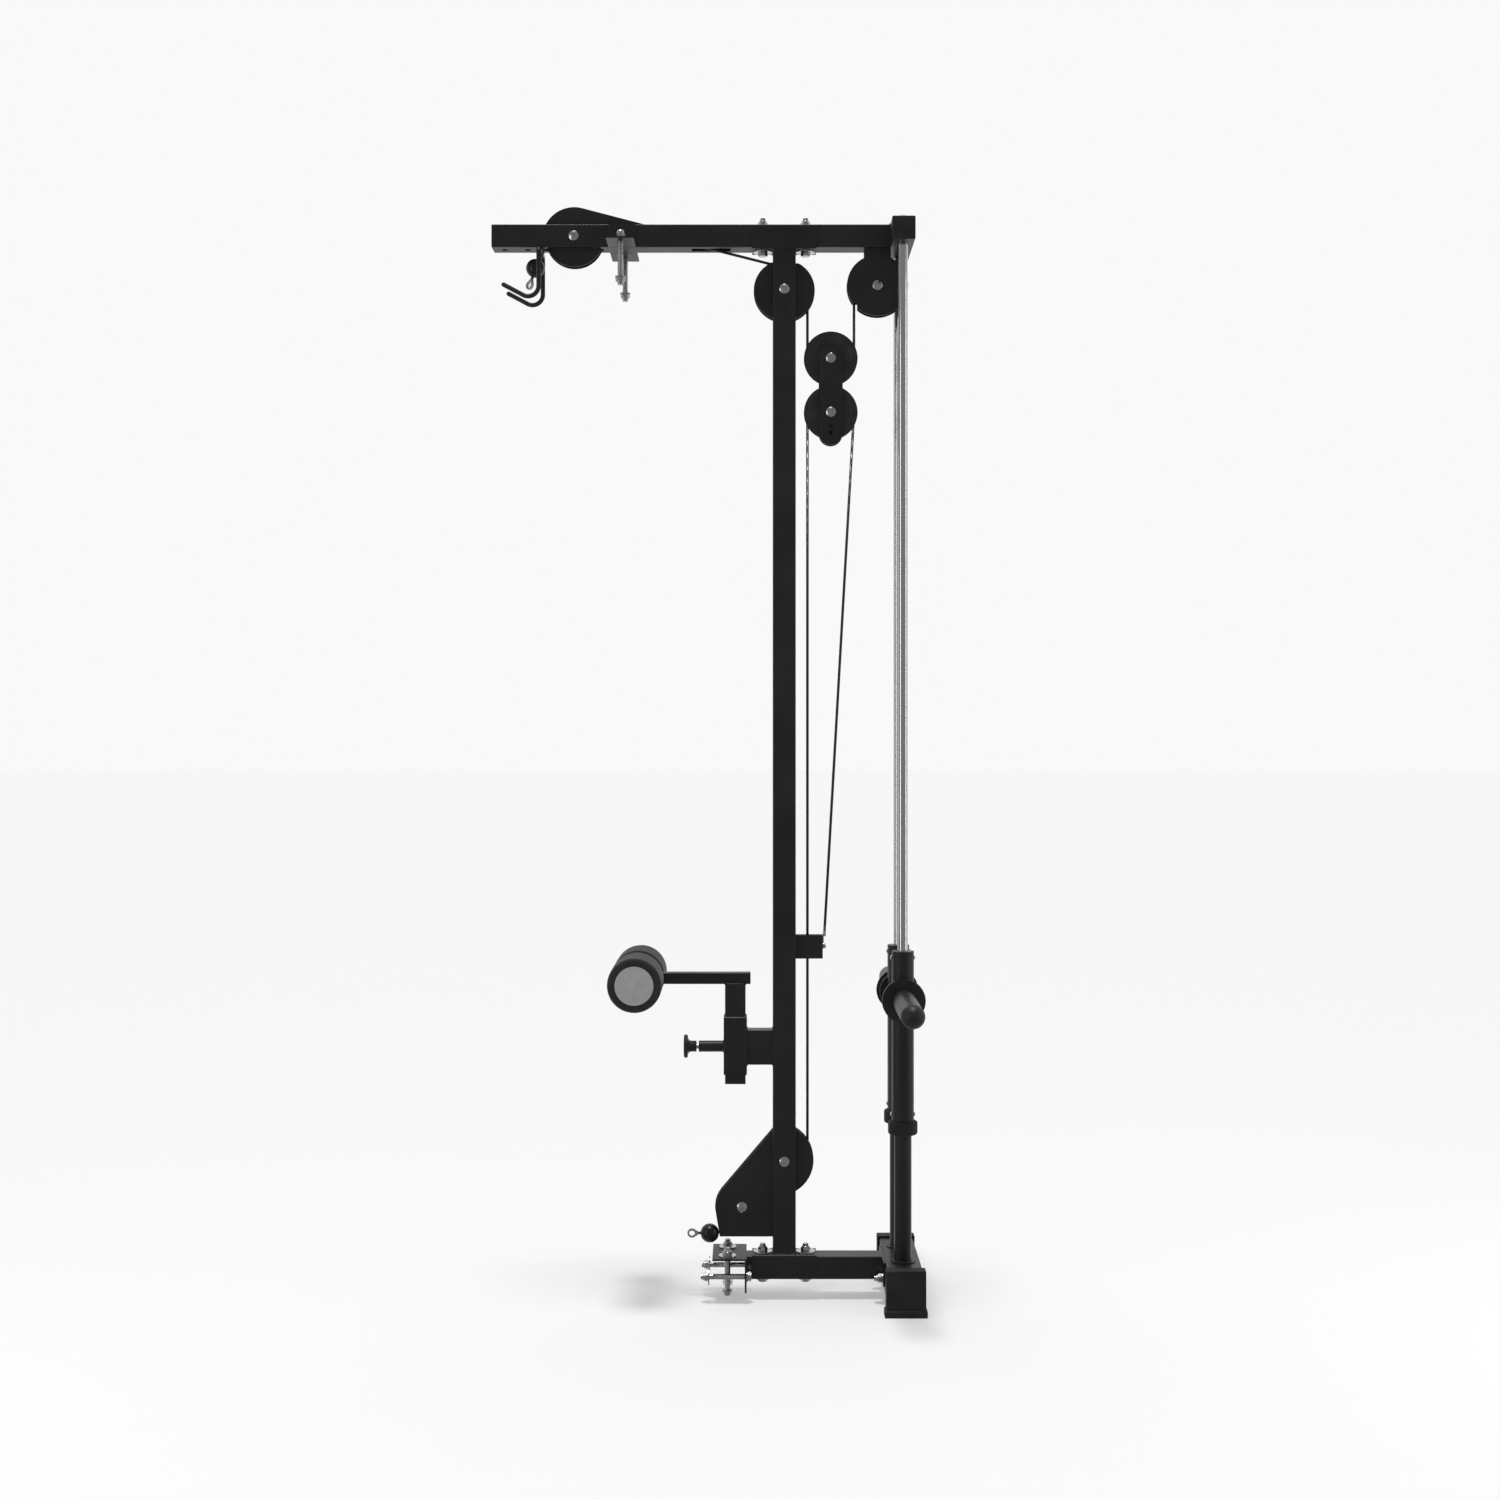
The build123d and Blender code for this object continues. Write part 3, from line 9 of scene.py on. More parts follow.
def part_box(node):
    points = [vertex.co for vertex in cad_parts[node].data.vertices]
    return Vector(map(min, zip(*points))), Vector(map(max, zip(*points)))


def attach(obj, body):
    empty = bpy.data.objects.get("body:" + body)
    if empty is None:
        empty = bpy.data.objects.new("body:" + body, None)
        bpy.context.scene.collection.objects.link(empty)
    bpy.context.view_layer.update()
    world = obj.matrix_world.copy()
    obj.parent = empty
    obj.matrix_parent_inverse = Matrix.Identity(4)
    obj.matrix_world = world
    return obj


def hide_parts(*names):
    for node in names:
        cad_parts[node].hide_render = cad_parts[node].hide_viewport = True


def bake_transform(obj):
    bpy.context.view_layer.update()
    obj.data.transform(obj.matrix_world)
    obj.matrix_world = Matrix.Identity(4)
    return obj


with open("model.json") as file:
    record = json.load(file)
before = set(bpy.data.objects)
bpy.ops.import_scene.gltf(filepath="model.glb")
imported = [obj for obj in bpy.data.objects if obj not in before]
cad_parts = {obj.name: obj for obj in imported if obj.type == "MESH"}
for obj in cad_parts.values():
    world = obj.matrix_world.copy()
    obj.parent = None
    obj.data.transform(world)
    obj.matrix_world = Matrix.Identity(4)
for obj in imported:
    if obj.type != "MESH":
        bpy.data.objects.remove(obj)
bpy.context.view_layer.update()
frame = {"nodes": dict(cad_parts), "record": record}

NODES = frame["nodes"]
MM = 0.001


# ---- places and sizes, from the frame ----
def middle(node):
    low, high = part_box(node)
    return (Vector(low) + Vector(high)) / 2


def size(node):
    low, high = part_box(node)
    return Vector(high) - Vector(low)


# ---- material helpers ----
def new_material(name, colour, roughness, metallic=0.0):
    """A Principled material, its node tree and its shader."""
    mat = bpy.data.materials.new(name)
    mat.use_nodes = True
    tree = mat.node_tree
    shader = tree.nodes["Principled BSDF"]
    shader.inputs["Base Color"].default_value = (*colour, 1.0)
    shader.inputs["Roughness"].default_value = roughness
    shader.inputs["Metallic"].default_value = metallic
    return mat, tree, shader


def node(tree, kind, inputs=(), **settings):
    """Adds a node, sets its properties and its inputs by name."""
    made = tree.nodes.new(kind)
    for key, value in settings.items():
        setattr(made, key, value)
    for key, value in dict(inputs).items():
        if isinstance(value, bpy.types.NodeSocket):
            tree.links.new(value, made.inputs[key])
        else:
            made.inputs[key].default_value = value
    return made


def place(tree, stretch=(1.0, 1.0, 1.0), centre=(0.0, 0.0, 0.0)):
    """Object coordinates in metres, moved and stretched."""
    where = node(tree, "ShaderNodeTexCoord").outputs["Object"]
    moved = node(tree, "ShaderNodeVectorMath", {0: where, 1: centre}, operation="SUBTRACT")
    scaled = node(tree, "ShaderNodeVectorMath", {0: moved.outputs[0], 1: stretch}, operation="MULTIPLY")
    return scaled.outputs[0]


def noise(tree, scale, detail=3.0, roughness=0.55, vector=None, dimensions="3D", w=None):
    inputs = {"Scale": scale, "Detail": detail, "Roughness": roughness}
    if vector is not None:
        inputs["Vector"] = vector
    if w is not None:
        inputs["W"] = w
    return node(tree, "ShaderNodeTexNoise", inputs, noise_dimensions=dimensions).outputs["Fac"]


def spread(tree, value, low, high, start=0.3, end=0.7):
    """Maps a noise value onto a range."""
    return node(
        tree,
        "ShaderNodeMapRange",
        {"Value": value, "From Min": start, "From Max": end, "To Min": low, "To Max": high},
    ).outputs["Result"]


def mix_colours(tree, amount, first, second):
    ramp = node(tree, "ShaderNodeMix", {"Factor": amount}, data_type="RGBA")
    ramp.inputs[6].default_value = (*first, 1.0)
    ramp.inputs[7].default_value = (*second, 1.0)
    return ramp.outputs[2]


def bump(tree, shader, height, depth, strength=1.0, under=None):
    """Joins a bump of a depth in metres to the shader, over another bump if there is one."""
    inputs = {"Height": height, "Distance": depth, "Strength": strength}
    if under is not None:
        inputs["Normal"] = under
    made = node(tree, "ShaderNodeBump", inputs)
    tree.links.new(made.outputs["Normal"], shader.inputs["Normal"])
    return made.outputs["Normal"]


# ---- materials ----
def powder_coat():
    """Black semi-gloss powder coat with a fine orange peel."""
    mat, tree, shader = new_material("powder_coat", (0.012, 0.012, 0.013), 0.4)
    where = place(tree)
    cloud = noise(tree, 9.0, 4.0, vector=where)
    colour = mix_colours(tree, spread(tree, cloud, 0.0, 1.0), (0.010, 0.010, 0.011), (0.016, 0.016, 0.017))
    tree.links.new(colour, shader.inputs["Base Color"])
    tree.links.new(spread(tree, cloud, 0.36, 0.46), shader.inputs["Roughness"])
    shader.inputs["Specular IOR Level"].default_value = 0.3
    peel = noise(tree, 520.0, 2.0, vector=where)
    grit = noise(tree, 1900.0, 2.0, vector=where)
    under = bump(tree, shader, peel, 0.00008, 0.5)
    bump(tree, shader, grit, 0.00003, 0.4, under)
    return mat


def zinc():
    """Bright zinc plate, faintly clouded and blue."""
    mat, tree, shader = new_material("zinc", (0.46, 0.46, 0.48), 0.24, 1.0)
    where = place(tree)
    cloud = noise(tree, 160.0, 4.0, vector=where)
    colour = mix_colours(tree, spread(tree, cloud, 0.0, 1.0), (0.38, 0.39, 0.41), (0.54, 0.54, 0.55))
    tree.links.new(colour, shader.inputs["Base Color"])
    tree.links.new(spread(tree, cloud, 0.18, 0.32), shader.inputs["Roughness"])
    bump(tree, shader, noise(tree, 2400.0, 2.0, vector=where), 0.00002, 0.4)
    return mat


def guide_chrome():
    """Ground and chromed bar: nearly a mirror, with faint rings from grinding."""
    mat, tree, shader = new_material("guide_chrome", (0.58, 0.58, 0.59), 0.13, 1.0)
    rings = noise(tree, 1.0, 3.0, vector=place(tree, (30.0, 30.0, 2600.0)))
    tree.links.new(spread(tree, rings, 0.11, 0.17), shader.inputs["Roughness"])
    bump(tree, shader, rings, 0.000004, 0.5)
    return mat


def brushed_disc():
    """Steel disc with a turned, circular grain round its axis."""
    mat, tree, shader = new_material("brushed_disc", (0.84, 0.84, 0.85), 0.34, 1.0)
    centre = middle("roller_axle")
    flat = place(tree, (1.0, 0.0, 1.0), (centre.x, 0.0, centre.z))
    radius = node(tree, "ShaderNodeVectorMath", {0: flat}, operation="LENGTH").outputs["Value"]
    rings = noise(tree, 5200.0, 3.0, 0.7, dimensions="1D", w=radius)
    cloud = noise(tree, 60.0, 3.0, vector=place(tree))
    tree.links.new(spread(tree, rings, 0.27, 0.42), shader.inputs["Roughness"])
    colour = mix_colours(tree, spread(tree, cloud, 0.0, 1.0), (0.78, 0.78, 0.79), (0.90, 0.90, 0.91))
    tree.links.new(colour, shader.inputs["Base Color"])
    bump(tree, shader, rings, 0.00003, 0.5)
    return mat


def black_rubber():
    """Moulded rubber, matt and slightly dusty."""
    mat, tree, shader = new_material("black_rubber", (0.013, 0.013, 0.013), 0.7)
    where = place(tree)
    cloud = noise(tree, 24.0, 5.0, vector=where)
    colour = mix_colours(tree, spread(tree, cloud, 0.0, 1.0), (0.009, 0.009, 0.009), (0.017, 0.017, 0.017))
    tree.links.new(colour, shader.inputs["Base Color"])
    tree.links.new(spread(tree, cloud, 0.6, 0.8), shader.inputs["Roughness"])
    shader.inputs["Specular IOR Level"].default_value = 0.3
    bump(tree, shader, noise(tree, 1500.0, 3.0, vector=where), 0.00008, 0.5)
    return mat


def moulded_plastic(name, colour, roughness, grain):
    """Black moulded plastic with a fine spark-eroded grain."""
    mat, tree, shader = new_material(name, colour, roughness)
    where = place(tree)
    cloud = noise(tree, 30.0, 3.0, vector=where)
    pale = tuple(channel * 1.6 for channel in colour)
    tree.links.new(mix_colours(tree, spread(tree, cloud, 0.0, 1.0), colour, pale), shader.inputs["Base Color"])
    tree.links.new(spread(tree, cloud, roughness - 0.05, roughness + 0.07), shader.inputs["Roughness"])
    shader.inputs["Specular IOR Level"].default_value = 0.3
    bump(tree, shader, noise(tree, grain, 2.0, vector=where), 0.00005, 0.5)
    return mat


def cable_coat():
    """Gloss black coating that shows the rope's lay as a faint spiral, along the strand's own UVs."""
    mat, tree, shader = new_material("cable_coat", (0.012, 0.012, 0.013), 0.28)
    uv = node(tree, "ShaderNodeTexCoord").outputs["UV"]
    parts = node(tree, "ShaderNodeSeparateXYZ", {"Vector": uv})
    around = node(tree, "ShaderNodeMath", {0: parts.outputs["X"], 1: 7.0}, operation="MULTIPLY")
    along = node(tree, "ShaderNodeMath", {0: parts.outputs["Y"], 1: 1 / 0.028}, operation="MULTIPLY")
    turn = node(tree, "ShaderNodeMath", {0: around.outputs[0], 1: along.outputs[0]}, operation="ADD")
    angle = node(tree, "ShaderNodeMath", {0: turn.outputs[0], 1: math.tau}, operation="MULTIPLY")
    wave = node(tree, "ShaderNodeMath", {0: angle.outputs[0]}, operation="SINE")
    under = bump(tree, shader, wave.outputs[0], 0.00016, 0.5)
    scuffs = noise(tree, 300.0, 3.0, vector=place(tree))
    tree.links.new(spread(tree, scuffs, 0.22, 0.38), shader.inputs["Roughness"])
    bump(tree, shader, scuffs, 0.00004, 0.4, under)
    return mat


def foam():
    """Closed-cell foam: matt, with fine open pores in its skin."""
    mat, tree, shader = new_material("foam", (0.018, 0.018, 0.019), 0.85)
    where = place(tree)
    cloud = noise(tree, 34.0, 5.0, vector=where)
    pores = node(tree, "ShaderNodeTexVoronoi", {"Vector": where, "Scale": 1250.0}, feature="F1").outputs["Distance"]
    pits = spread(tree, pores, 0.0, 1.0, 0.12, 0.42)
    colour = mix_colours(tree, spread(tree, cloud, 0.0, 1.0), (0.014, 0.014, 0.015), (0.024, 0.024, 0.025))
    tree.links.new(colour, shader.inputs["Base Color"])
    shader.inputs["Sheen Weight"].default_value = 0.12
    shader.inputs["Sheen Roughness"].default_value = 0.5
    shader.inputs["Specular IOR Level"].default_value = 0.3
    under = bump(tree, shader, pits, 0.00025, 0.6)
    bump(tree, shader, noise(tree, 300.0, 4.0, vector=where), 0.0002, 0.4, under)
    return mat


MATERIALS = {
    "frame_steel": powder_coat(),
    "zinc_steel": zinc(),
    "guide_chrome": guide_chrome(),
    "brushed_disc": brushed_disc(),
    "black_rubber": black_rubber(),
    "black_plastic": moulded_plastic("black_plastic", (0.010, 0.010, 0.011), 0.5, 1700.0),
    "pulley_nylon": moulded_plastic("pulley_nylon", (0.015, 0.015, 0.016), 0.42, 1200.0),
    "bushing_plastic": moulded_plastic("bushing_plastic", (0.05, 0.05, 0.05), 0.4, 1500.0),
    "ball_plastic": moulded_plastic("ball_plastic", (0.006, 0.006, 0.006), 0.25, 900.0),
    "cable_jacket": cable_coat(),
    "foam": foam(),
}


def paint_frame():
    """Gives every CAD node the material of its slot in the record."""
    for part in frame["record"]["subparts"]:
        obj = NODES[part["node"]]
        obj.data.materials.clear()
        obj.data.materials.append(MATERIALS[part["material_slot"]])


# ---- piece helpers ----
def finish_piece(obj, slot_name, smooth=True):
    """Gives the piece the material for a slot name, and shades it."""
    obj.data.materials.clear()
    obj.data.materials.append(MATERIALS[slot_name])
    if smooth:
        for face in obj.data.polygons:
            face.use_smooth = True
    return obj


def new_object(name, mesh):
    obj = bpy.data.objects.new(name, mesh)
    bpy.context.scene.collection.objects.link(obj)
    return obj


def new_piece(name, bm, slot_name, body=None, replaced=()):
    """Turns a bmesh into a finished piece that rides on a body and stands for CAD nodes."""
    bmesh.ops.recalc_face_normals(bm, faces=bm.faces)
    mesh = bpy.data.meshes.new(name)
    bm.to_mesh(mesh)
    bm.free()
    obj = finish_piece(new_object(name, mesh), slot_name)
    if body:
        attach(obj, body)
    if replaced:
        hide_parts(*replaced)
    return obj


def add_tube(bm, points, radius, sides=24, side=Vector((0.0, 1.0, 0.0))):
    """Adds a closed tube along a list of points, with UVs: once round, and metres along."""
    uv_layer = bm.loops.layers.uv.verify()
    rings = []
    along = [0.0]
    for a, b in zip(points, points[1:]):
        along.append(along[-1] + (b - a).length)
    for i, point in enumerate(points):
        ahead = points[min(i + 1, len(points) - 1)]
        behind = points[max(i - 1, 0)]
        other = (ahead - behind).cross(side).normalized()
        turns = [math.tau * k / sides for k in range(sides)]
        rings.append([bm.verts.new(point + radius * (math.cos(t) * side + math.sin(t) * other)) for t in turns])
    for i in range(len(points) - 1):
        for k in range(sides):
            after = (k + 1) % sides
            face = bm.faces.new((rings[i][k], rings[i][after], rings[i + 1][after], rings[i + 1][k]))
            places = ((k, i), (k + 1, i), (k + 1, i + 1), (k, i + 1))
            for loop, (u, v) in zip(face.loops, places):
                loop[uv_layer].uv = (u / sides, along[v])
    bm.faces.new(list(reversed(rings[0])))
    bm.faces.new(rings[-1])


def facing(axis):
    """A rotation that takes +Z to an axis."""
    return Vector(axis).to_track_quat("Z", "Y").to_matrix().to_4x4()


def add_lathe(bm, profile, at, axis, steps=96, closed=False):
    """Adds a profile of (along, radius) points turned about an axis through a point."""
    place_it = Matrix.Translation(at) @ facing(axis)
    rings = []
    for along, radius in profile:
        ring = []
        for k in range(steps):
            t = math.tau * k / steps
            ring.append(bm.verts.new(place_it @ Vector((radius * math.cos(t), radius * math.sin(t), along))))
        rings.append(ring)
    pairs = list(zip(rings, rings[1:]))
    if closed:
        pairs.append((rings[-1], rings[0]))
    for first, second in pairs:
        for k in range(steps):
            after = (k + 1) % steps
            bm.faces.new((first[k], first[after], second[after], second[k]))
    if not closed:
        bm.faces.new(list(reversed(rings[0])))
        bm.faces.new(rings[-1])
    return rings


# ---- cables ----
CABLE_R = 0.003
PITCH = size("cable_on_block").x / 2 - CABLE_R
FRONT = middle("pulley_top_front")
MID = middle("pulley_top_mid")
REAR = middle("pulley_top_rear")
UPPER = middle("pulley_block_upper")
LOWER = middle("pulley_block_lower")
LOW_REAR = middle("pulley_low_rear")
LOW_FRONT = middle("pulley_low_front")


def ball_centre(node_name):
    low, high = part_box(node_name)
    radius = (high[2] - low[2]) / 2
    return Vector((high[0] - radius, 0.0, low[2] + radius))


LAT_BALL = ball_centre("lat_ball")
LOW_BALL = ball_centre("low_ball")
BALL_R = size("lat_ball").z / 2


def toward(degrees):
    """The direction at an angle up from +X, seen from the camera's side."""
    return Vector((math.cos(math.radians(degrees)), 0.0, math.sin(math.radians(degrees))))


def angle_on(centre, point):
    return math.degrees(math.atan2(point.z - centre.z, point.x - centre.x))


def tangent_point(point, centre, side):
    """Where a tight cable from a point meets a pulley's pitch circle; side +1 is to its left."""
    gap = centre - point
    turn = math.atan2(gap.z, gap.x) + side * math.asin(PITCH / gap.length)
    return point + math.sqrt(gap.length**2 - PITCH**2) * toward(math.degrees(turn))


def arc(centre, start, end):
    """Points on a pulley's pitch circle, about two degrees apart."""
    count = max(2, round(abs(end - start) / 2.0))
    return [centre + PITCH * toward(start + (end - start) * i / count) for i in range(count + 1)]


LAT_TOUCH = tangent_point(LAT_BALL, FRONT, 1)
LOW_TOUCH = tangent_point(LOW_BALL, LOW_FRONT, -1)
TOP_TURN = angle_on(FRONT, MID) + 90
LOW_TURN = angle_on(LOW_FRONT, LOW_REAR) - 90


def bent_cables():
    """The stretches that lie in the pulleys' grooves, with the runs between fixed pulleys."""
    bm = bmesh.new()
    add_tube(bm, arc(FRONT, angle_on(FRONT, LAT_TOUCH) % 360, TOP_TURN) + arc(MID, TOP_TURN, 0), CABLE_R)
    add_tube(bm, arc(REAR, 180, 0), CABLE_R)
    low_path = arc(LOW_FRONT, angle_on(LOW_FRONT, LOW_TOUCH), LOW_TURN) + arc(LOW_REAR, LOW_TURN, 0)
    add_tube(bm, low_path, CABLE_R)
    new_piece("ropes_on_frame", bm, "cable_jacket", "frame", ["cable_on_frame_pulleys"])
    bm = bmesh.new()
    add_tube(bm, arc(UPPER, 180, 360), CABLE_R)
    anchor_low = Vector(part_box("strand_to_anchor")[0])
    start = Vector((anchor_low.x + CABLE_R, 0.0, anchor_low.z))
    touch = tangent_point(start, LOWER, -1)
    add_tube(bm, arc(LOWER, angle_on(LOWER, touch), 180), CABLE_R)
    new_piece("ropes_on_block", bm, "cable_jacket", "floating_block", ["cable_on_block"])
    return start, touch


def straight_cable(node_name, fixed, moving, body):
    """A straight stretch: a tube of just two rings between its two ends."""
    bm = bmesh.new()
    add_tube(bm, [fixed, moving], CABLE_R)
    obj = new_piece(node_name + "_rope", bm, "cable_jacket")
    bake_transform(obj)
    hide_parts(node_name)


def strands():
    anchor_start, anchor_touch = bent_cables()
    for name, body, top_moves in (
        ("strand_mid_to_block", "floating_block", False),
        ("strand_rear_to_block", "floating_block", False),
        ("strand_low_to_block", "floating_block", True),
        ("strand_to_carriage", "carriage", False),
    ):
        low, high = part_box(name)
        x = (low[0] + high[0]) / 2
        ends = [Vector((x, 0.0, high[2])), Vector((x, 0.0, low[2]))]
        if top_moves:
            ends.reverse()
        straight_cable(name, *ends, body)
    straight_cable("strand_to_anchor", anchor_start, anchor_touch, "floating_block")


def tail(node_name, touch, ball, eye_turn, body):
    """The cable from a pulley through the ball to the eye: the free stretch, then the end."""
    neck = ball + EYE_NECK * toward(eye_turn)
    along = (ball - touch).normalized()
    inside = ball - 0.6 * BALL_R * along
    bm = bmesh.new()
    add_tube(bm, [touch, inside], CABLE_R)
    obj = new_piece(node_name + "_rope", bm, "cable_jacket")
    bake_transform(obj)
    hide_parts(node_name)
    bm = bmesh.new()
    add_tube(bm, [ball, neck], CABLE_R)
    new_piece(node_name + "_neck", bm, "cable_jacket", body)


# ---- balls and eyes ----
EYE_NECK = 0.0242
EYE_REACH = 0.0392
EYE_R = 0.01035
EYE_TIP = 0.0135
EYE_TIP_R = 0.0032
EYE_HOLE = (0.0060, 0.0050)
EYE_HALF = 0.0035


def ball(node_name, centre, axis, body):
    """A moulded stop ball with a parting line round it and a lead-in at each end of its bore."""
    profile = []
    start = math.degrees(math.asin(0.0046 / BALL_R))
    profile += [(-BALL_R * 0.93, 0.0033), (-BALL_R * math.cos(math.radians(start)) + 0.0004, 0.0036)]
    turn = start
    while turn <= 180 - start + 0.01:
        seam = max(0.0, 1.0 - abs(turn - 90.0) / 1.2)
        radius = BALL_R - 0.00028 * seam
        profile.append((-radius * math.cos(math.radians(turn)), radius * math.sin(math.radians(turn))))
        turn += 1.2 if abs(turn - 90) < 4 else 3.0
    profile += [(BALL_R * math.cos(math.radians(start)) - 0.0004, 0.0036), (BALL_R * 0.93, 0.0033)]
    bm = bmesh.new()
    add_lathe(bm, profile, centre, axis)
    new_piece(node_name + "_moulding", bm, "ball_plastic", body, [node_name])


def eye_outline(turn):
    """The teardrop's radius at an angle from the line to the ball: a circle drawn out to a tip."""
    best = 0.0
    for i in range(41):
        s = i / 40
        centre = s * EYE_TIP
        radius = EYE_R + s * (EYE_TIP_R - EYE_R)
        inside = radius**2 - (centre * math.sin(turn)) ** 2
        if inside >= 0:
            best = max(best, centre * math.cos(turn) + math.sqrt(inside))
    return best


def eye(node_name, ball_at, eye_turn, twist, body):
    """A forged eye: a flattened ring with rounded edges, drawn out towards the cable."""
    axis = toward(eye_turn)
    turned = Matrix.Rotation(math.radians(twist), 3, axis)
    normal = turned @ Vector((0.0, 1.0, 0.0))
    across = axis.cross(normal)
    centre = ball_at + EYE_REACH * axis
    bm = bmesh.new()
    rings = []
    for i in range(72):
        turn = math.tau * i / 72
        along = -math.cos(turn) * axis + math.sin(turn) * across
        hole = EYE_HOLE[0] * EYE_HOLE[1] / math.hypot(EYE_HOLE[1] * math.cos(turn), EYE_HOLE[0] * math.sin(turn))
        edge = eye_outline(turn)
        half = EYE_HALF * (1.0 - 0.12 * max(0.0, math.cos(turn)) ** 4)
        ring = []
        for k in range(20):
            t = math.tau * k / 20
            wide = math.copysign(abs(math.cos(t)) ** 0.6, math.cos(t))
            thick = math.copysign(abs(math.sin(t)) ** 0.6, math.sin(t))
            reach = (edge + hole) / 2 + (edge - hole) / 2 * wide
            ring.append(bm.verts.new(centre + reach * along + half * thick * normal))
        rings.append(ring)
    for first, second in zip(rings, rings[1:] + rings[:1]):
        for k in range(20):
            after = (k + 1) % 20
            bm.faces.new((first[k], first[after], second[after], second[k]))
    new_piece(node_name + "_forging", bm, "zinc_steel", body, [node_name])


# ---- pulleys ----
def pulley(node_name, body):
    """A moulded wheel: groove, rounded lips, a dished web, and a sealed bearing."""
    centre = middle(node_name)
    outer = size(node_name).x / 2
    half = size(node_name).y / 2
    groove_r = CABLE_R + 0.0006
    hub, rim_in, bore = 0.0165, 0.0452, 0.0141
    web = half - 0.0020
    side = [
        (web - 0.0012, bore),
        (half - 0.0003, bore),
        (half, bore + 0.0004),
        (half, hub - 0.0006),
        (half - 0.0005, hub),
        (web + 0.0005, hub + 0.0007),
        (web, hub + 0.0022),
        (web, rim_in - 0.0040),
        (web + 0.0004, rim_in - 0.0022),
        (half - 0.0006, rim_in),
        (half, rim_in + 0.0009),
        (half, outer - 0.0018),
        (half - 0.0003, outer - 0.0006),
        (half - 0.0009, outer),
        (0.0056, outer - 0.0002),
        (0.0050, outer - 0.0010),
    ]
    groove = [(groove_r * math.cos(t), PITCH - groove_r * math.sin(t)) for t in
              (math.pi * i / 12 for i in range(13))]
    far_side = [(-along, radius) for along, radius in reversed(side)]
    bm = bmesh.new()
    add_lathe(bm, side + groove + far_side, centre, (0, 1, 0), closed=True)
    new_piece(node_name + "_wheel", bm, "pulley_nylon", body, [node_name])
    bearing = bmesh.new()
    face = half - 0.0006
    rings = [
        (0.0, 0.00606), (face - 0.0003, 0.00606), (face, 0.0064), (face, 0.0078), (face - 0.0003, 0.0081),
        (face - 0.0009, 0.0082), (face - 0.0007, 0.0086), (face - 0.0007, 0.0116), (face - 0.0009, 0.0120),
        (face - 0.0003, 0.0121), (face, 0.0124), (face, 0.0137), (face - 0.0003, 0.0141), (0.0, 0.0141),
    ]
    for sign in (-1, 1):
        add_lathe(bearing, [(sign * along, radius) for along, radius in rings], centre, (0, 1, 0), closed=True)
    new_piece(node_name + "_bearing", bearing, "zinc_steel", body)


# ---- foam rollers and the pull pin's knob ----
def foam_roller(node_name, body):
    """A foam sleeve with soft shoulders, a little slack in its skin and a pinched bore."""
    centre = middle(node_name)
    half = size(node_name).y / 2
    outer = size(node_name).x / 2
    bore = 0.01715
    shoulder = 0.0062
    profile = [(-half + 0.0012, bore), (-half + 0.0002, bore + 0.0016)]
    reaches = [bore + 0.0016 + (outer - shoulder - bore - 0.0016) * i / 16 for i in range(1, 16)]
    profile += [(-half + 0.0007 * math.sin(math.pi * i / 16), reach) for i, reach in enumerate(reaches, 1)]
    for i in range(11):
        t = math.pi / 2 * i / 10
        profile.append((-half + shoulder * (1 - math.cos(t)), outer - 0.0003 - shoulder * (1 - math.sin(t))))
    straight = 30
    for i in range(1, straight):
        along = -half + shoulder + (2 * half - 2 * shoulder) * i / straight
        crown = 0.0003 * (1 - (along / half) ** 2)
        profile.append((along, outer - 0.0003 + crown))
    profile += [(-along, radius) for along, radius in reversed(profile[: len(profile) - straight + 1])]
    bm = bmesh.new()
    add_lathe(bm, profile, centre, (0, 1, 0), steps=160, closed=True)
    for vert in bm.verts:
        flat = Vector((vert.co.x - centre.x, 0.0, vert.co.z - centre.z))
        if flat.length > bore + 0.003:
            lump = lattice.noise(vert.co * 42.0) * 0.00035 + lattice.noise(vert.co * 190.0) * 0.00010
            vert.co += flat.normalized() * min(0.0, lump - 0.0002)
    obj = new_piece(node_name + "_sleeve", bm, "foam", body, [node_name])


def pin_knob():
    """A turned pull knob: a thin grip disc that flares down to a neck."""
    low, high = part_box("pin_knob")
    z = middle("pin_knob").z
    outer = size("pin_knob").z / 2
    front, back = low[0], high[0]
    disc_back = front + 0.0086
    profile = [(front + 0.0004, 0.0001), (front + 0.0004, 0.0085), (front, 0.0092), (front, outer - 0.0034)]
    for i in range(1, 10):
        t = math.pi * i / 10
        profile.append((front + 0.0043 * (1 - math.cos(t)), outer - 0.0034 + 0.0034 * math.sin(t)))
    profile.append((disc_back, outer - 0.0036))
    for i in range(13):
        t = math.pi / 2 * i / 12
        profile.append((disc_back + 0.0072 * (1 - math.cos(t)), 0.0205 - 0.0085 * math.sin(t)))
    profile += [(back - 0.0006, 0.012), (back, 0.0114), (back, 0.0064)]
    bm = bmesh.new()
    add_lathe(bm, profile, Vector((0.0, 0.0, z)), (1, 0, 0))
    new_piece("pin_knob_grip", bm, "black_plastic", "pop_pin", ["pin_knob"])


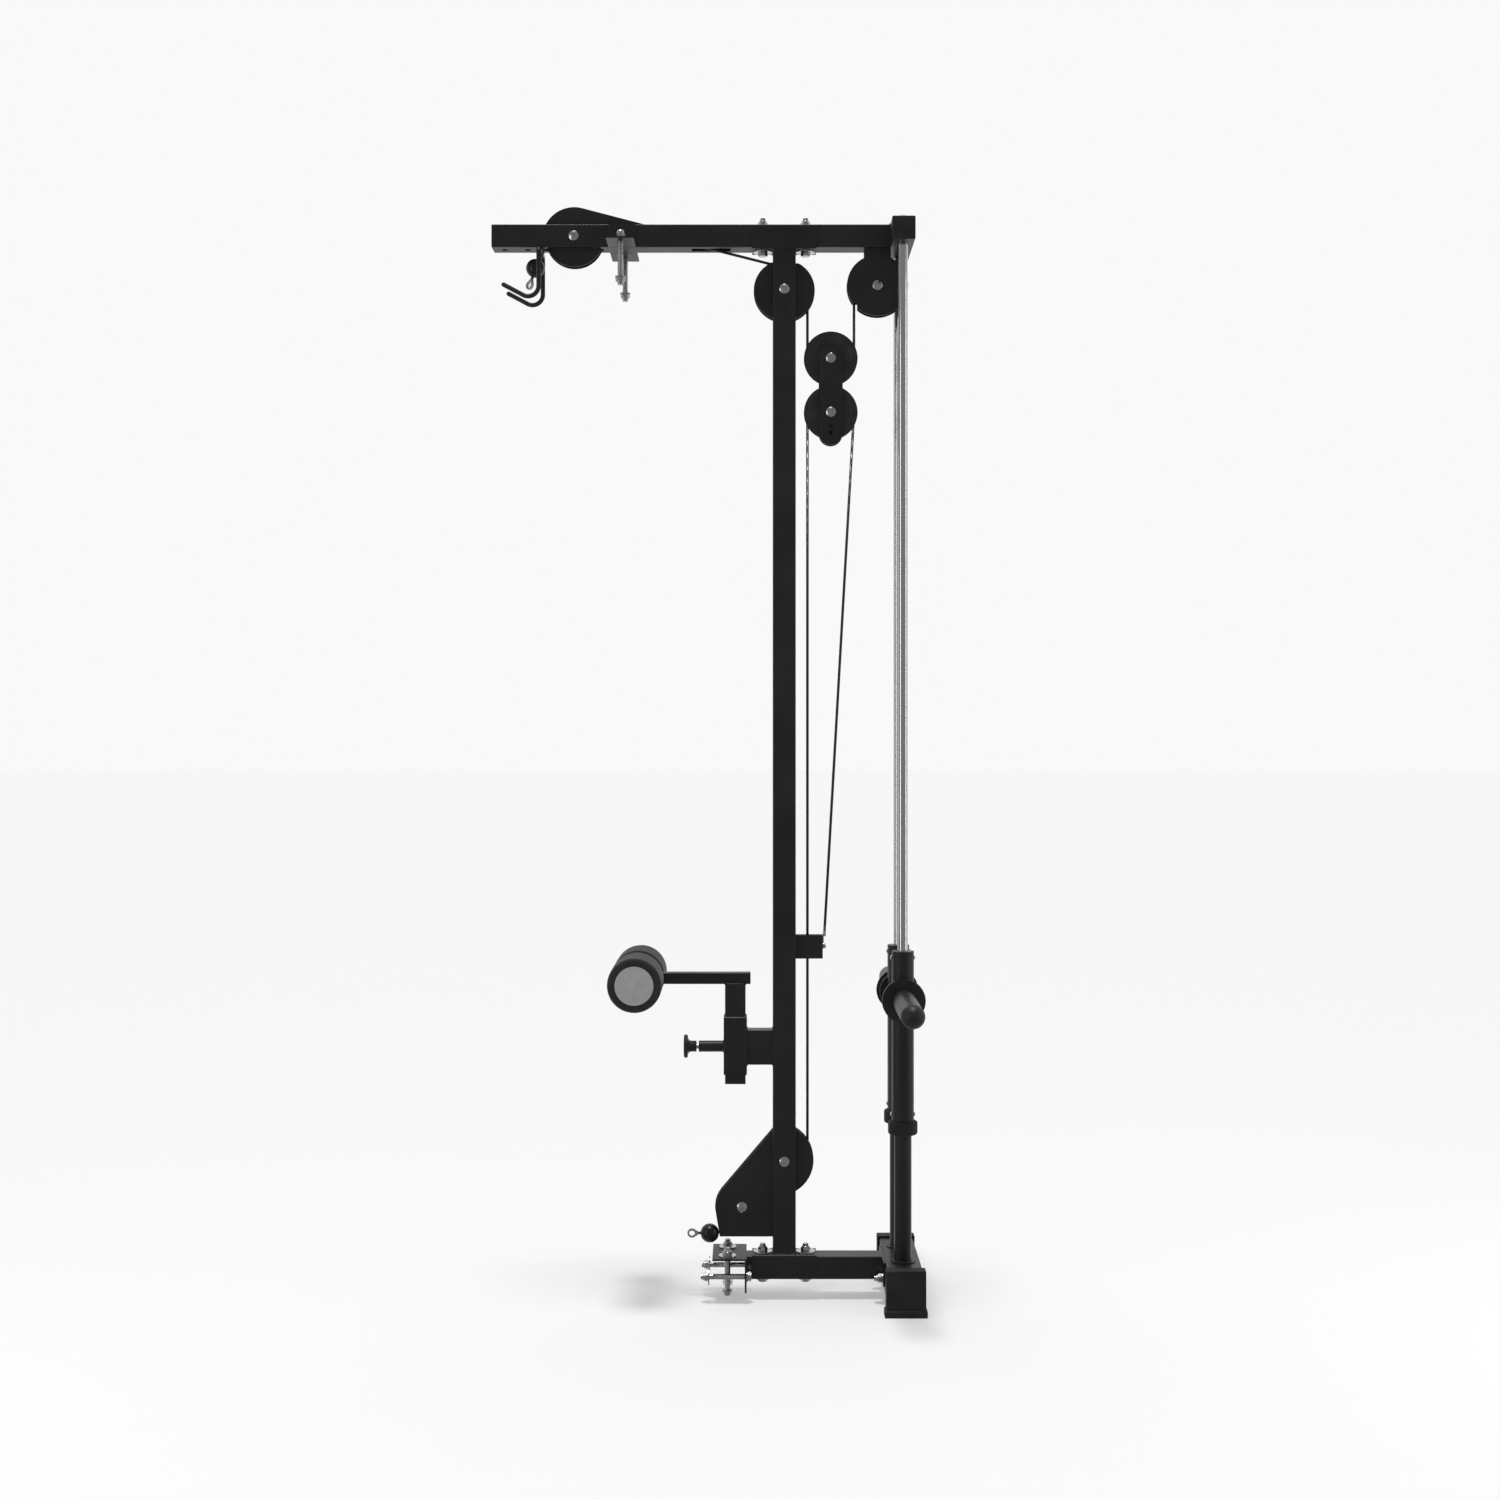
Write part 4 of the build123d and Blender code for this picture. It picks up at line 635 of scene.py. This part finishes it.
# ---- weld beads ----
def add_bead(bm, points, radius=0.0022, loop=False):
    """Adds a rippled weld bead along a path."""
    if loop:
        points = points + points[:1]
    path = []
    travelled = 0.0
    for a, b in zip(points, points[1:]):
        length = (b - a).length
        steps = max(1, round(length / 0.0009))
        for i in range(steps):
            path.append((a.lerp(b, i / steps), travelled + length * i / steps))
        travelled += length
    path.append((points[-1].copy(), travelled))
    sides = 10
    rings = []
    for i, (spot, along) in enumerate(path):
        ahead = path[min(i + 1, len(path) - 1)][0]
        behind = path[max(i - 1, 0)][0]
        if loop and i in (0, len(path) - 1):
            ahead, behind = path[1][0], path[-2][0]
        run = (ahead - behind).normalized()
        first = run.orthogonal().normalized() if abs(run.y) > 0.9 else run.cross(Vector((0, 1, 0))).normalized()
        second = run.cross(first)
        ripple = 0.90 + 0.16 * abs(math.sin(math.pi * along / 0.0029))
        ripple *= 1.0 + 0.10 * lattice.noise(spot * 260.0)
        end = 1.0 if loop else min(1.0, 0.35 + min(along, travelled - along) / 0.003)
        reach = radius * ripple * end
        turns = [math.tau * k / sides for k in range(sides)]
        rings.append([bm.verts.new(spot + reach * (math.cos(t) * first + math.sin(t) * second)) for t in turns])
    for a, b in zip(rings, rings[1:]):
        for k in range(sides):
            after = (k + 1) % sides
            bm.faces.new((a[k], a[after], b[after], b[k]))
    if not loop:
        bm.faces.new(list(reversed(rings[0])))
        bm.faces.new(rings[-1])


def rectangle_x(x, y, z):
    """A rectangular loop in the plane at one X."""
    return [Vector((x, y[0], z[0])), Vector((x, y[1], z[0])), Vector((x, y[1], z[1])), Vector((x, y[0], z[1]))]


def rectangle_z(x, y, z):
    return [Vector((x[0], y[0], z)), Vector((x[1], y[0], z)), Vector((x[1], y[1], z)), Vector((x[0], y[1], z))]


def circle(centre, radius, axis, steps=72):
    place_it = Matrix.Translation(centre) @ facing(axis)
    turns = [math.tau * k / steps for k in range(steps)]
    return [place_it @ Vector((radius * math.cos(t), radius * math.sin(t), 0.0)) for t in turns]


def frame_welds():
    up_low, up_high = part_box("upright")
    beam_low, beam_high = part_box("top_beam")
    base_low, base_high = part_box("base_beam")
    clamp_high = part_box("lower_rack_clamp")[1]
    y = (beam_low[1], beam_high[1])
    bm = bmesh.new()
    add_bead(bm, rectangle_x(beam_high[0], y, (beam_low[2], beam_high[2])), 0.0020, loop=True)
    for z in (up_low[2], up_high[2]):
        add_bead(bm, rectangle_z((up_low[0], up_high[0]), y, z), 0.0022, loop=True)
    base_z = clamp_high[2] - 0.004
    plate_front = base_high[0] - 0.005
    for x in (clamp_high[0], plate_front):
        corners = rectangle_x(x, y, (base_z - 0.0505, base_z - 0.001))
        add_bead(bm, [corners[3], corners[0], corners[1], corners[2]], 0.0022)
    anchor_low, anchor_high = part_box("anchor_bracket")
    knee_low, knee_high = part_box("knee_bracket")
    hook_low, hook_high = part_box("bar_hooks")
    hanger_low, hanger_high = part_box("rear_pulley_hanger")
    cover_low, cover_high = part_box("front_pulley_plates")
    upper_low, upper_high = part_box("upper_rack_clamps")
    for side in (-1, 1):
        edge = side * anchor_high[1]
        add_bead(bm, [Vector((up_high[0], edge, z)) for z in (anchor_low[2] + 0.002, anchor_high[2] - 0.002)], 0.0019)
        plate = side * hanger_high[1]
        ends = (REAR.x - 0.0275, REAR.x + 0.0275)
        add_bead(bm, [Vector((x, plate, beam_low[2])) for x in ends], 0.0020)
        ends = (FRONT.x - 0.050, cover_high[0] - 0.012)
        add_bead(bm, [Vector((x, plate, beam_high[2])) for x in ends], 0.0020)
        ends = (FRONT.x - 0.048, FRONT.x + 0.054)
        add_bead(bm, [Vector((x, plate, beam_low[2])) for x in ends], 0.0020)
        ends = (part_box("low_pulley_housing")[0][2] + 0.004, LOW_REAR.z + 0.058)
        add_bead(bm, [Vector((up_low[0], plate, z)) for z in ends], 0.0016)
        for x in (upper_low[0], upper_high[0]):
            ends = (beam_low[2] + 0.006, beam_high[2] - 0.003)
            add_bead(bm, [Vector((x, side * beam_high[1], z)) for z in ends], 0.0020)
        for x in (hook_high[0] - 0.0098, hook_high[0] - 0.0002):
            ends = (side * 0.0125, side * 0.0245)
            add_bead(bm, [Vector((x, y_at, beam_low[2] - 0.0008)) for y_at in ends], 0.0018)
    pin_z = middle("pin_knob").z
    bracket_half = (0.019, 0.038)
    sleeve_back = KNEE.x + 0.0255
    for x in (up_low[0], sleeve_back):
        loop = rectangle_x(x, (-bracket_half[0], bracket_half[0]), (pin_z - bracket_half[1], pin_z + bracket_half[1]))
        add_bead(bm, loop, 0.0023, loop=True)
    add_bead(bm, circle(Vector((KNEE.x - 0.0255, 0.0, pin_z)), 0.0124, (1, 0, 0)), 0.0019, loop=True)
    stop_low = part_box("stop_tubes")[0]
    for rod_y in (-ROD_Y, ROD_Y):
        foot = Vector((ROD_X, rod_y, stop_low[2] + 0.002))
        add_bead(bm, circle(foot, 0.0192, (0, 0, 1)), 0.0016, loop=True)
    new_piece("frame_welds", bm, "frame_steel", "frame")


def carriage_welds():
    sleeve_r = 0.02415
    bar = 0.020
    hub_r = 0.041
    hub_end = 0.083
    horn_z = middle("weight_horns").z
    bm = bmesh.new()
    for side in (-1, 1):
        for bar_z, half in ((LOWER_BAR_Z, LOWER_BAR_HALF), (horn_z, bar)):
            loop = []
            for level, order in ((bar_z + bar, 1), (bar_z - bar, -1)):
                for i in range(21):
                    x = order * (-half + 2 * half * i / 20)
                    y_at = ROD_Y - math.sqrt(sleeve_r**2 - x**2)
                    loop.append(Vector((ROD_X + x, side * y_at, level)))
            add_bead(bm, loop, 0.0019, loop=True)
        for level in (-1, 1):
            arc = []
            for i in range(31):
                x = sleeve_r * math.sin(math.radians(-84 + 168 * i / 30))
                y_at = ROD_Y + math.sqrt(sleeve_r**2 - x**2)
                arc.append(Vector((ROD_X + x, side * y_at, horn_z + level * math.sqrt(hub_r**2 - x**2))))
            add_bead(bm, arc, 0.0019)
        add_bead(bm, circle(Vector((ROD_X, side * hub_end, horn_z)), hub_r, (0, 1, 0)), 0.0020, loop=True)
    new_piece("carriage_welds", bm, "frame_steel", "carriage")


def knee_welds():
    post_low, post_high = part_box("knee_post")
    arm_low, arm_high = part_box("knee_arm")
    bm = bmesh.new()
    for side in (-1, 1):
        ends = (post_low[0] + 0.001, post_high[0] - 0.001)
        add_bead(bm, [Vector((x, side * (arm_high[1] + 0.0004), post_high[2])) for x in ends], 0.0022)
    for x in (post_low[0], post_high[0]):
        add_bead(bm, [Vector((x, y_at, post_high[2])) for y_at in (arm_low[1] + 0.001, arm_high[1] - 0.001)], 0.0020)
    new_piece("knee_welds", bm, "frame_steel", "knee_support")


# ---- threads ----
THREAD_PITCH = 0.00175


def add_thread(bm, start, end):
    """Adds the raised spiral of an M12 thread between two points on a bolt's axis."""
    axis = (end - start).normalized()
    first = axis.orthogonal().normalized()
    second = axis.cross(first)
    steps = 18
    count = int((end - start).length / THREAD_PITCH * steps)
    section = ((-0.00055, 0.00590), (-0.00008, 0.00624), (0.00008, 0.00624), (0.00055, 0.00590))
    rings = []
    for i in range(count + 1):
        turn = math.tau * i / steps
        out = math.cos(turn) * first + math.sin(turn) * second
        spot = start + axis * (THREAD_PITCH * i / steps)
        rings.append([bm.verts.new(spot + along * axis + radius * out) for along, radius in section])
    for a, b in zip(rings, rings[1:]):
        for k in range(3):
            bm.faces.new((a[k], a[k + 1], b[k + 1], b[k]))


def threads():
    nut, tip, ring = 0.011, 0.005, 0.0025
    clamp_low, clamp_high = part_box("lower_rack_clamp")
    wing_low, wing_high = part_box("upper_rack_clamps")
    saddle_low, saddle_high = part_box("upright_saddles")
    beam_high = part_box("top_beam")[1]
    foot_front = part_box("base_beam")[1][0] - 0.005
    clamp_x = middle("upper_rack_clamps").x
    upright_x = middle("upright").x
    bm = bmesh.new()
    for side in (-1, 1):
        runs = [
            ((0.0053, side * 0.045, 0.056), (clamp_high[0] - 0.004, side * 0.045, 0.056)),
            ((0.0028 - nut, side * 0.045, 0.056), (0.0028 - nut - tip, side * 0.045, 0.056)),
            ((0.0445, side * 0.035, clamp_low[2]), (0.0445, side * 0.035, clamp_high[2] - 0.004)),
            ((0.0445, side * 0.035, clamp_high[2] + ring + nut), (0.0445, side * 0.035, clamp_high[2] + ring + nut + tip)),
            ((clamp_x, side * 0.075, 2.225), (clamp_x, side * 0.075, wing_low[2])),
            ((clamp_x, side * 0.075, 2.225 - ring - nut), (clamp_x, side * 0.075, 2.225 - ring - nut - tip)),
            ((foot_front - ring - nut, side * 0.050, 0.054), (foot_front - ring - nut - tip, side * 0.050, 0.054)),
        ]
        for x in (upright_x - 0.047, upright_x + 0.047):
            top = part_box("upright")[0][2] + ring + nut
            runs.append(((x, 0.0, top), (x, 0.0, top + tip)))
            top = beam_high[2] + ring + nut
            runs.append(((x, 0.0, top), (x, 0.0, top + tip)))
        for a, b in runs:
            add_thread(bm, Vector(a), Vector(b))
    tube, plate = size("top_beam").y / 2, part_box("rear_pulley_hanger")[1][1]
    faces = ((FRONT, tube), (MID, tube), (LOW_REAR, tube), (LOW_FRONT, plate), (REAR, plate))
    for centre, face in faces:
        add_thread(bm, centre + Vector((0, face + nut, 0)), centre + Vector((0, face + nut + tip, 0)))
    new_piece("frame_threads", bm, "zinc_steel", "frame")
    bm = bmesh.new()
    for centre in (UPPER, LOWER):
        add_thread(bm, centre + Vector((0, plate + nut, 0)), centre + Vector((0, plate + nut + tip, 0)))
    new_piece("block_threads", bm, "zinc_steel", "floating_block")


KNEE = middle("knee_post")
ROD_X = middle("guide_rods").x
ROD_Y = size("guide_rods").y / 2 - 0.011
LOWER_BAR_Z = 0.470
LOWER_BAR_HALF = 0.015
LAT_EYE_TURN = 252.0
LOW_EYE_TURN = 180.0

paint_frame()
strands()
tail("lat_cable_tail", LAT_TOUCH, LAT_BALL, LAT_EYE_TURN, "lat_end")
tail("low_cable_tail", LOW_TOUCH, LOW_BALL, LOW_EYE_TURN, "row_end")
ball("lat_ball", LAT_BALL, LAT_TOUCH - LAT_BALL, "lat_end")
ball("low_ball", LOW_BALL, LOW_TOUCH - LOW_BALL, "row_end")
eye("lat_eye", LAT_BALL, LAT_EYE_TURN, 37.0, "lat_end")
eye("low_eye", LOW_BALL, LOW_EYE_TURN, 0.0, "row_end")
for part in frame["record"]["behaviour"]["bodies"].items():
    for node_name in part[1]:
        if node_name.startswith("pulley_") and node_name != "pulley_axles":
            pulley(node_name, part[0])
foam_roller("foam_roller_near", "roller_near")
foam_roller("foam_roller_far", "roller_far")
pin_knob()
frame_welds()
carriage_welds()
knee_welds()
threads()


# ---- stage ----
def make_floor():
    """A pale floor that glows evenly, so that it meets the background and still takes a soft shadow."""
    mesh = bpy.data.meshes.new("floor")
    reach = 60.0
    corners = [(-reach, -reach, 0), (reach, -reach, 0), (reach, reach, 0), (-reach, reach, 0)]
    mesh.from_pydata(corners, [], [(0, 1, 2, 3)])
    floor = new_object("floor", mesh)
    mat, tree, shader = new_material("floor", (0.5, 0.5, 0.5), 1.0)
    mesh.materials.append(mat)
    shader.inputs["Specular IOR Level"].default_value = 0.0
    shader.inputs["Emission Color"].default_value = (1.0, 1.0, 1.0, 1.0)
    shader.inputs["Emission Strength"].default_value = FLOOR_GLOW
    floor.visible_glossy = False


def make_world():
    """White where the camera looks, and a studio that is bright behind and dark in front."""
    world = bpy.data.worlds.new("studio")
    bpy.context.scene.world = world
    world.use_nodes = True
    tree = world.node_tree
    tree.nodes.clear()
    way = node(tree, "ShaderNodeTexCoord").outputs["Generated"]
    parts = node(tree, "ShaderNodeSeparateXYZ", {"Vector": way})
    depth = node(
        tree,
        "ShaderNodeMapRange",
        {"Value": parts.outputs["Y"], "From Min": -0.35, "From Max": 0.75, "To Min": ROOM_FRONT, "To Max": ROOM_BACK},
        interpolation_type="SMOOTHSTEP",
    ).outputs["Result"]
    seen = node(tree, "ShaderNodeBackground", {"Color": (1, 1, 1, 1), "Strength": WHITE})
    light = node(tree, "ShaderNodeBackground", {"Color": (1, 1, 1, 1), "Strength": depth})
    ray = node(tree, "ShaderNodeLightPath").outputs["Is Camera Ray"]
    both = node(tree, "ShaderNodeMixShader", {0: ray, 1: light.outputs[0], 2: seen.outputs[0]})
    node(tree, "ShaderNodeOutputWorld", {"Surface": both.outputs[0]})


WHITE = 0.947
ROOM_FRONT = 0.28
ROOM_BACK = 0.95
FLOOR_GLOW = 0.31
OVERHEAD = 2.2


def make_lights():
    sun_data = bpy.data.lights.new("overhead", "SUN")
    sun_data.energy = OVERHEAD
    sun_data.angle = math.radians(9)
    sun = bpy.data.objects.new("overhead", sun_data)
    sun.rotation_euler = (math.radians(3), math.radians(-2), 0)
    bpy.context.scene.collection.objects.link(sun)
    for name, spot, width, height, power in (
        ("left_panel", (-2.6, -1.9, 1.3), 0.55, 3.2, 18.0),
        ("right_panel", (3.0, -0.9, 1.3), 0.35, 3.2, 16.0),
    ):
        data = bpy.data.lights.new(name, "AREA")
        data.shape = "RECTANGLE"
        data.size, data.size_y = width, height
        data.energy = power
        lamp = bpy.data.objects.new(name, data)
        lamp.location = spot
        target = Vector((0.2, 0.0, 1.2)) - lamp.location
        lamp.rotation_euler = target.to_track_quat("-Z", "Y").to_euler()
        bpy.context.scene.collection.objects.link(lamp)


def make_camera():
    """The photographer's place, level with the middle of the tower and square to its side."""
    data = bpy.data.cameras.new("camera")
    data.lens = 43.456
    data.sensor_width = 36.0
    data.shift_y = -0.01
    camera = bpy.data.objects.new("camera", data)
    camera.location = (0.0938, -3.985, 1.2347)
    camera.rotation_euler = (math.radians(90), 0, 0)
    bpy.context.scene.collection.objects.link(camera)
    bpy.context.scene.camera = camera


make_floor()
make_world()
make_lights()
make_camera()
bpy.context.scene.view_settings.view_transform = "Standard"
